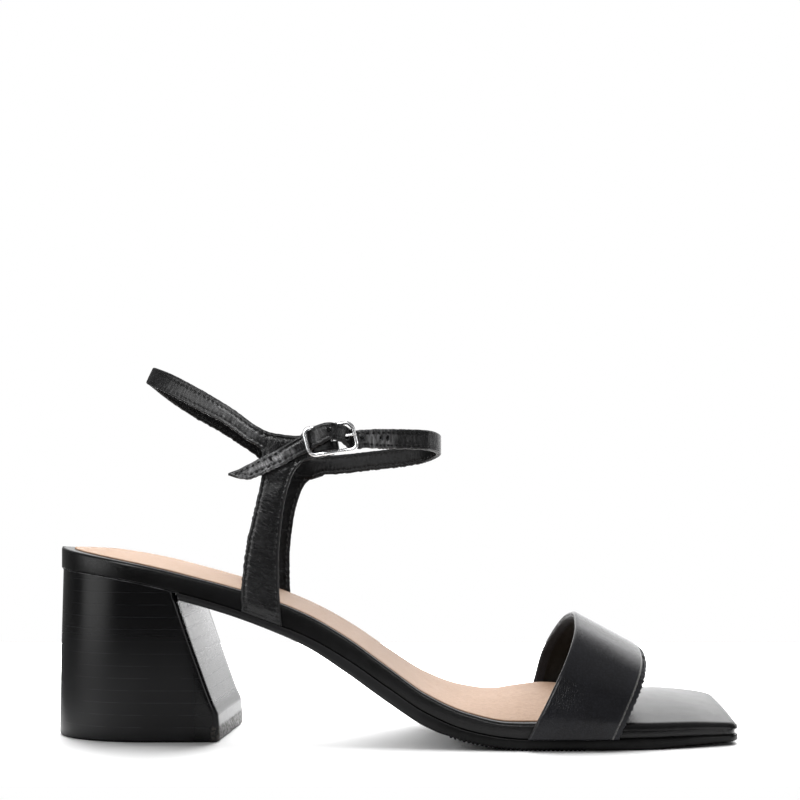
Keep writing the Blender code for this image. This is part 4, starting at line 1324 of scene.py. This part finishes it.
def on_heel_strap(place, rise):
    """The lower edge of the strap behind the posts, which is sewn further in."""
    return place[0] < HEEL_STRAP_FROM and rise > 0


def on_strap(place, rise):
    """Leave the chape's hidden end, the buckle and the posts' feet unsewn."""
    x, y, z = place
    in_buckle = abs(x - BUCKLE_CENTRE[0]) < UNSEWN_REACH and y < UNSEWN_OUT and z > UNSEWN_ABOVE
    return not in_buckle and z > sole("seat", x) + UNSEWN_FOOT and not on_heel_strap(place, rise)


def make_quarter():
    sheet, run, side, places, ways = quarter_sheet()
    sewn = [sheet.row_beside_edge(ring, inset, STITCH_PITCH, keep) for ring in sheet.loops()
            for inset, keep in ((STITCH_INSET, on_strap), (HEEL_STRAP_INSET, on_heel_strap))]
    points, depth = sheet.points, sheet.depth
    stitch = distances(place_tree(np.concatenate([row[0] for row in sewn])), points)
    calm = LEAST_CALM + (1 - LEAST_CALM) * bends(points)
    lifted = soft_step(points[:, 2] - sole("seat", points[:, 0]), 0, SKIVED_HEIGHT)
    skived = LEAST_SKIVED + (1 - LEAST_SKIVED) * lifted
    wear_and_highlight = wear_and_painted_sheen(points)
    post = soft_step(POST_BELOW - points[:, 2], 0, POST_FADE) * soft_step(depth, 0, 1)
    trough = SEAM_SHARE * bell(depth, STITCH_INSET, SEAM_WIDTH) + DIMPLE_SHARE * bell(stitch, 0, DIMPLE_WIDTH)
    trough = STITCH_TROUGH * calm * trough
    middle = soft_step(depth, STITCH_INSET + 0.15, STITCH_INSET + 0.6) * calm
    crease = WRINKLE * (1 - WORN_FLAT * wear_and_highlight) * (1 - POST_FLAT * post) * wrinkles(run, side)
    face = rounded(depth, STRAP_WALL / 2, STRAP_ROUND)
    outer = face - trough + middle * (PILLOW * (1 - near_buckle(points)) + crease)
    outer = outer + POST_CROWN * post * (1 - (side / POST_HALF) ** 2)
    beside = np.linalg.norm(points[:, None] - places[None], axis=2)
    beside = (beside - np.array([hole.radius for hole in PUNCH_HOLES])).min(1)
    rim = rounded(np.maximum(beside, 0), HOLE_FACE, HOLE_ROUND)
    outer, inner = (skived * np.minimum(rows, rim) for rows in (outer, face - LINING_TROUGH * trough))
    marks = {"run": run, "side": side, "hole": beside, "sheen": wear_and_highlight, "stitch": stitch}
    return sheet.wall("quarter_strap", outer, inner, marks), sewn, places, ways


def strap_leather(name, gloss, polish_and_sheen):
    """Soft leather, finely wrinkled across; as far as it has polish, a painted sheen lightens the parts that
    wear has flattened, and a painted highlight rings the punched holes.
    """
    material, paint, ports = new_finish(name, Specular_IOR_Level=gloss)
    names = ("edge", "face", "run", "side", "hole", "sheen", "stitch")
    edge, face, run, side, hole, sheen, stitch = (read_mark(paint, mark) for mark in names)
    along = paint.node("ShaderNodeCombineXYZ", None, {"X": run * MM, "Y": side * (0.25 * MM), "Z": face * MM})
    crease = noise(paint, 0.7, 3.0, along)
    fold = noise(paint, 2.4, 2.0, along)
    cloud = noise(paint, 9.0, 3.0)
    fuzz = noise(paint, 0.35, 3.0)
    grain = pebble(paint, 0.6)
    sheen = polish_and_sheen * sheen
    middle = (0.6 + 0.4 * edge.between(1.5, 2.0)) * stitch.between(0.3, 0.65)
    colour = cloud.between(0.3, 0.7).blend((0.0035, 0.0035, 0.0038), (0.006, 0.006, 0.0068))
    # Painted sheen: the polished parts are painted much lighter between the stitch rows, in patches that
    # follow the wrinkles.
    painted_glint = sheen * middle * (0.25 + 0.75 * crease.between(0.42, 0.66)) * (0.4 + 0.6 * fold.between(0.3, 0.6))
    colour = painted_glint.blend(colour, (0.5, 0.5, 0.51))
    raw = (1 - edge.between(0.0, 0.3)) * fuzz.between(0.45, 0.65)
    colour = (0.15 * raw).blend(colour, (0.06, 0.059, 0.057))
    # Painted highlight: a lighter ring round each punched hole.
    rim = (1 - hole.between(0.25, 0.8)) * hole.between(0.0, 0.12)
    colour = (0.6 * polish_and_sheen * rim).blend(colour, (0.10, 0.10, 0.104))
    paint.feed(ports["Base Color"], colour)
    paint.feed(ports["Roughness"], 0.2 + 0.1 * crease + 0.1 * sheen + 0.4 * (1 - edge.between(0.15, 0.7)))
    height = (0.15 * crease + 0.12 * fold) * (1 - 0.8 * sheen) + 0.02 * grain
    paint.feed(ports["Normal"], relief(paint, height))
    return material


def line_wall(mesh, lining):
    """Give a wall's inner face its lining."""
    face = np.empty(len(mesh.vertices), np.float32)
    mesh.attributes["face"].data.foreach_get("value", face)
    mesh.materials.append(lining)
    inside = [min(face[corner] for corner in polygon.vertices) < 0 for polygon in mesh.polygons]
    mesh.polygons.foreach_set("material_index", np.array(inside, np.int32))


quarter_mesh, sewn, hole_places, hole_ways = make_quarter()
STRAP_LEATHER = strap_leather("strap_leather", 0.38, 1.0)
fit_piece("quarter_strap", quarter_mesh, STRAP_LEATHER, "upper_leather", "quarter_strap")
STRAP_LINING = strap_leather("strap_lining", 0.16, 0.0)
line_wall(quarter_mesh, STRAP_LINING)

linings = [(points, along, -out) for points, along, out in sewn]
for name, rows, share in (("strap_stitches", sewn, 1.0), ("lining_stitches", linings, LINING_TROUGH)):
    rise = STRAP_WALL / 2 - share * STITCH_TROUGH + STITCH_RISE
    lay_stitches(name, rows, rise, STRAP_STITCH, "upper_leather")


def painted_hole_shade():
    """Dark ovals set in each punched hole, as painted shade for its dark depth."""
    radius = np.array([hole.radius for hole in PUNCH_HOLES])
    level = np.cross(hole_ways, (0, 0, 1))
    return run_tool("hole_shade_plugs", OVAL_COPIES, WAXED_THREAD,
                    {"Width": HOLE_BACK * radius.mean(), "Height": BACK_HEIGHT},
                    hole_places - hole_ways * BACK_DEPTH, level, hole_ways, HOLE_BACK * radius)


# Painted shade: dark ovals fill the depth of the punched holes.
fit_piece("hole_shade_plugs", painted_hole_shade(), WAXED_THREAD, "upper_leather")

# Chape loop: the end of the lateral strap, skived thin, folded round the buckle's
# middle bar and sewn down behind it, with a slot for the prong; its stitches are not drawn.
LOOP_RADIUS, LOOP_WALL = 2.2, 1.1
LOOP_LOW, LOOP_HIGH, LOOP_ROUND = -3.7, 2.2, 0.5
LOOP_BACK, LOOP_FRONT, LOOP_NEAR = -6.5, -6.0, -0.4
BACK_OUT, BACK_RISE, FRONT_OUT, FRONT_FADE = -2.9, 0.7, -0.9, -6.6
LOOP_HEART = (-2.0, 0.0, 0.0)
PRONG_SLOT, SLOT_FROM = 0.8, 0.4
PLAIN_MARKS = {"hole": 9.0, "sheen": 0.1, "stitch": 9.0}


def on_buckle(points):
    """Take points from the buckle's own plane to its place on the lateral side."""
    cosine, sine = math.cos(BUCKLE_TILT), math.sin(BUCKLE_TILT)
    axes = np.array([(cosine, 0, sine), (-sine, 0, cosine), (0, -1, 0)])
    return np.asarray(points) @ axes + np.array(BUCKLE_CENTRE)


def make_chape_loop():
    turn = np.radians(np.linspace(-90, 90, 25))
    back, front = np.linspace(LOOP_BACK, LOOP_NEAR, 12), np.linspace(LOOP_NEAR, LOOP_FRONT, 12)
    along = np.concatenate([back, LOOP_RADIUS * np.cos(turn), front])
    out = np.concatenate([BACK_OUT + BACK_RISE * soft_step(back, LOOP_BACK, 0), LOOP_RADIUS * np.sin(turn),
                          FRONT_OUT + (LOOP_RADIUS - FRONT_OUT) * soft_step(front, FRONT_FADE, 0)])
    rise = LOOP_LOW + edged(LOOP_HIGH - LOOP_LOW, ACROSS_STEP)
    many, count = len(along), len(rise)
    grid = np.stack(np.broadcast_arrays(along[:, None], rise[None], out[:, None]), 2)
    quads = patches(np.arange(many * count).reshape(many, count))[:, :, TURNED]
    centre = (grid[:-1, :-1] + grid[1:, 1:]) / 2
    kept = (np.abs(centre[:, :, 1]) > PRONG_SLOT) | (centre[:, :, 0] < SLOT_FROM)
    points = on_buckle(grid.reshape(-1, 3))
    sheet = Sheet(points, quads[kept], points - on_buckle([LOOP_HEART]))
    face = rounded(sheet.depth, LOOP_WALL / 2, LOOP_ROUND)
    marks = {key: np.full(many * count, value) for key, value in PLAIN_MARKS.items()}
    marks["run"] = np.repeat(running_length(np.stack([along, out], 1)), count)
    marks["side"] = np.tile(rise, many)
    return sheet.wall("chape_loop", face, face, marks)


fit_piece("chape_loop", make_chape_loop(), STRAP_LINING, "upper_leather")

# Buckle: a bent frame of polished steel with a middle bar. The prong hooks round
# that bar, comes up through the strap and rests on the front bar.
BUCKLE_LENGTH, BUCKLE_HEIGHT, BUCKLE_CORNER, BUCKLE_LEAN = 18.2, 10.7, 2.2, 0.1
BUCKLE_WIRE, BUCKLE_BAND, PRONG_WIRE = 1.3, 1.45, 0.95
BUCKLE_SHIFT, BUCKLE_RISE, PRONG_RISE = 0.25, 0.3, 0.6
PRONG_RING = (BUCKLE_WIRE + PRONG_WIRE) / 2 + GAP
PRONG_OVERHANG, PRONG_TIP, PRONG_END = 0.9, (0.92, 0.75, 0.4), 0.5
HOOK_START, HOOK_TURN = -40, 225


def oval_wire(path, side_half, out_half, out, closed):
    """Rings of an oval wire round a path that lies square to the out direction."""
    path = np.asarray(path, float)
    turn = np.linspace(0, 2 * math.pi, 15)[:-1]
    if closed:
        tangent = np.roll(path, -1, 0) - np.roll(path, 1, 0)
    else:
        tangent = np.gradient(path, axis=0)
    tangent /= np.linalg.norm(tangent, axis=1, keepdims=True)
    beside = np.cross(tangent, out)
    side_half, out_half = (np.broadcast_to(half, len(path))[:, None, None] for half in (side_half, out_half))
    rings = path[:, None] + beside[:, None] * side_half * np.cos(turn)[None, :, None]
    rings = rings + np.asarray(out, float) * out_half * np.sin(turn)[None, :, None]
    return np.concatenate([rings, rings[:1]]) if closed else rings


def make_buckle_frame():
    half_x, half_y = (BUCKLE_LENGTH - BUCKLE_BAND) / 2, (BUCKLE_HEIGHT - BUCKLE_BAND) / 2
    path = []
    for quarter, (sx, sy) in enumerate(((1, 1), (-1, 1), (-1, -1), (1, -1))):
        for turn in (quarter + np.linspace(0, 1, 9)) * math.pi / 2:
            along = sx * (half_x - BUCKLE_CORNER) + BUCKLE_CORNER * math.cos(turn)
            up = sy * (half_y - BUCKLE_CORNER) + BUCKLE_CORNER * math.sin(turn)
            path.append((along - BUCKLE_LEAN * up + BUCKLE_SHIFT, up + BUCKLE_RISE, 0))
    half = BUCKLE_WIRE / 2
    rings = oval_wire(path, BUCKLE_BAND / 2, half, (0, 0, 1), True)
    ends = np.linspace(BUCKLE_RISE - half_y, BUCKLE_RISE + half_y, 12)
    bar = oval_wire([(0, y, 0) for y in ends], half, half, (0, 0, 1), False)
    frame_mesh = loft("buckle_frame", on_buckle(rings), close=False)
    bar_mesh = loft("middle_bar", on_buckle(bar))
    holder, other = (bpy.data.objects.new(mesh.name, mesh) for mesh in (frame_mesh, bar_mesh))
    for part in (holder, other):
        scene.collection.objects.link(part)
    join = holder.modifiers.new("middle_bar", "BOOLEAN")
    join.operation = "UNION"
    join.object = other
    made = plain_mesh(holder)
    bpy.data.objects.remove(other)
    return settle(made)


def make_buckle_prong():
    turn = np.radians(HOOK_START - HOOK_TURN * np.linspace(0, 1, 22))
    tip = (BUCKLE_LENGTH - BUCKLE_WIRE) / 2 + PRONG_OVERHANG
    hook = np.stack([PRONG_RING * np.cos(turn), 0 * turn, PRONG_RING * np.sin(turn)], 1)
    run = np.linspace(PRONG_RING / 2, tip, 16)
    path = np.concatenate([hook, np.stack([run, 0 * run, np.full_like(run, PRONG_RING)], 1)])
    path[:, 1] += PRONG_RISE
    half = np.full(len(path), PRONG_WIRE / 2)
    half[-3:] *= PRONG_TIP
    half[0] *= PRONG_END
    return loft("buckle_prong", on_buckle(oval_wire(path, half, half, (0, 1, 0), False)))


def polished_steel():
    material, paint, ports = new_finish("buckle_steel", Metallic=1.0)
    haze = noise(paint, 3.0, 3.0)
    scratch = noise(paint, 0.25, 2.0)
    paint.feed(ports["Base Color"], haze.between(0.3, 0.7).blend((0.86, 0.86, 0.87), (0.93, 0.93, 0.94)))
    paint.feed(ports["Roughness"], 0.2 + 0.1 * haze)
    paint.feed(ports["Normal"], relief(paint, 0.003 * scratch))
    return material


BUCKLE_STEEL = polished_steel()
fit_piece("buckle_frame", make_buckle_frame(), BUCKLE_STEEL, "buckle_steel", "buckle_frame")
fit_piece("buckle_prong", make_buckle_prong(), BUCKLE_STEEL, "buckle_steel", "buckle_prong")
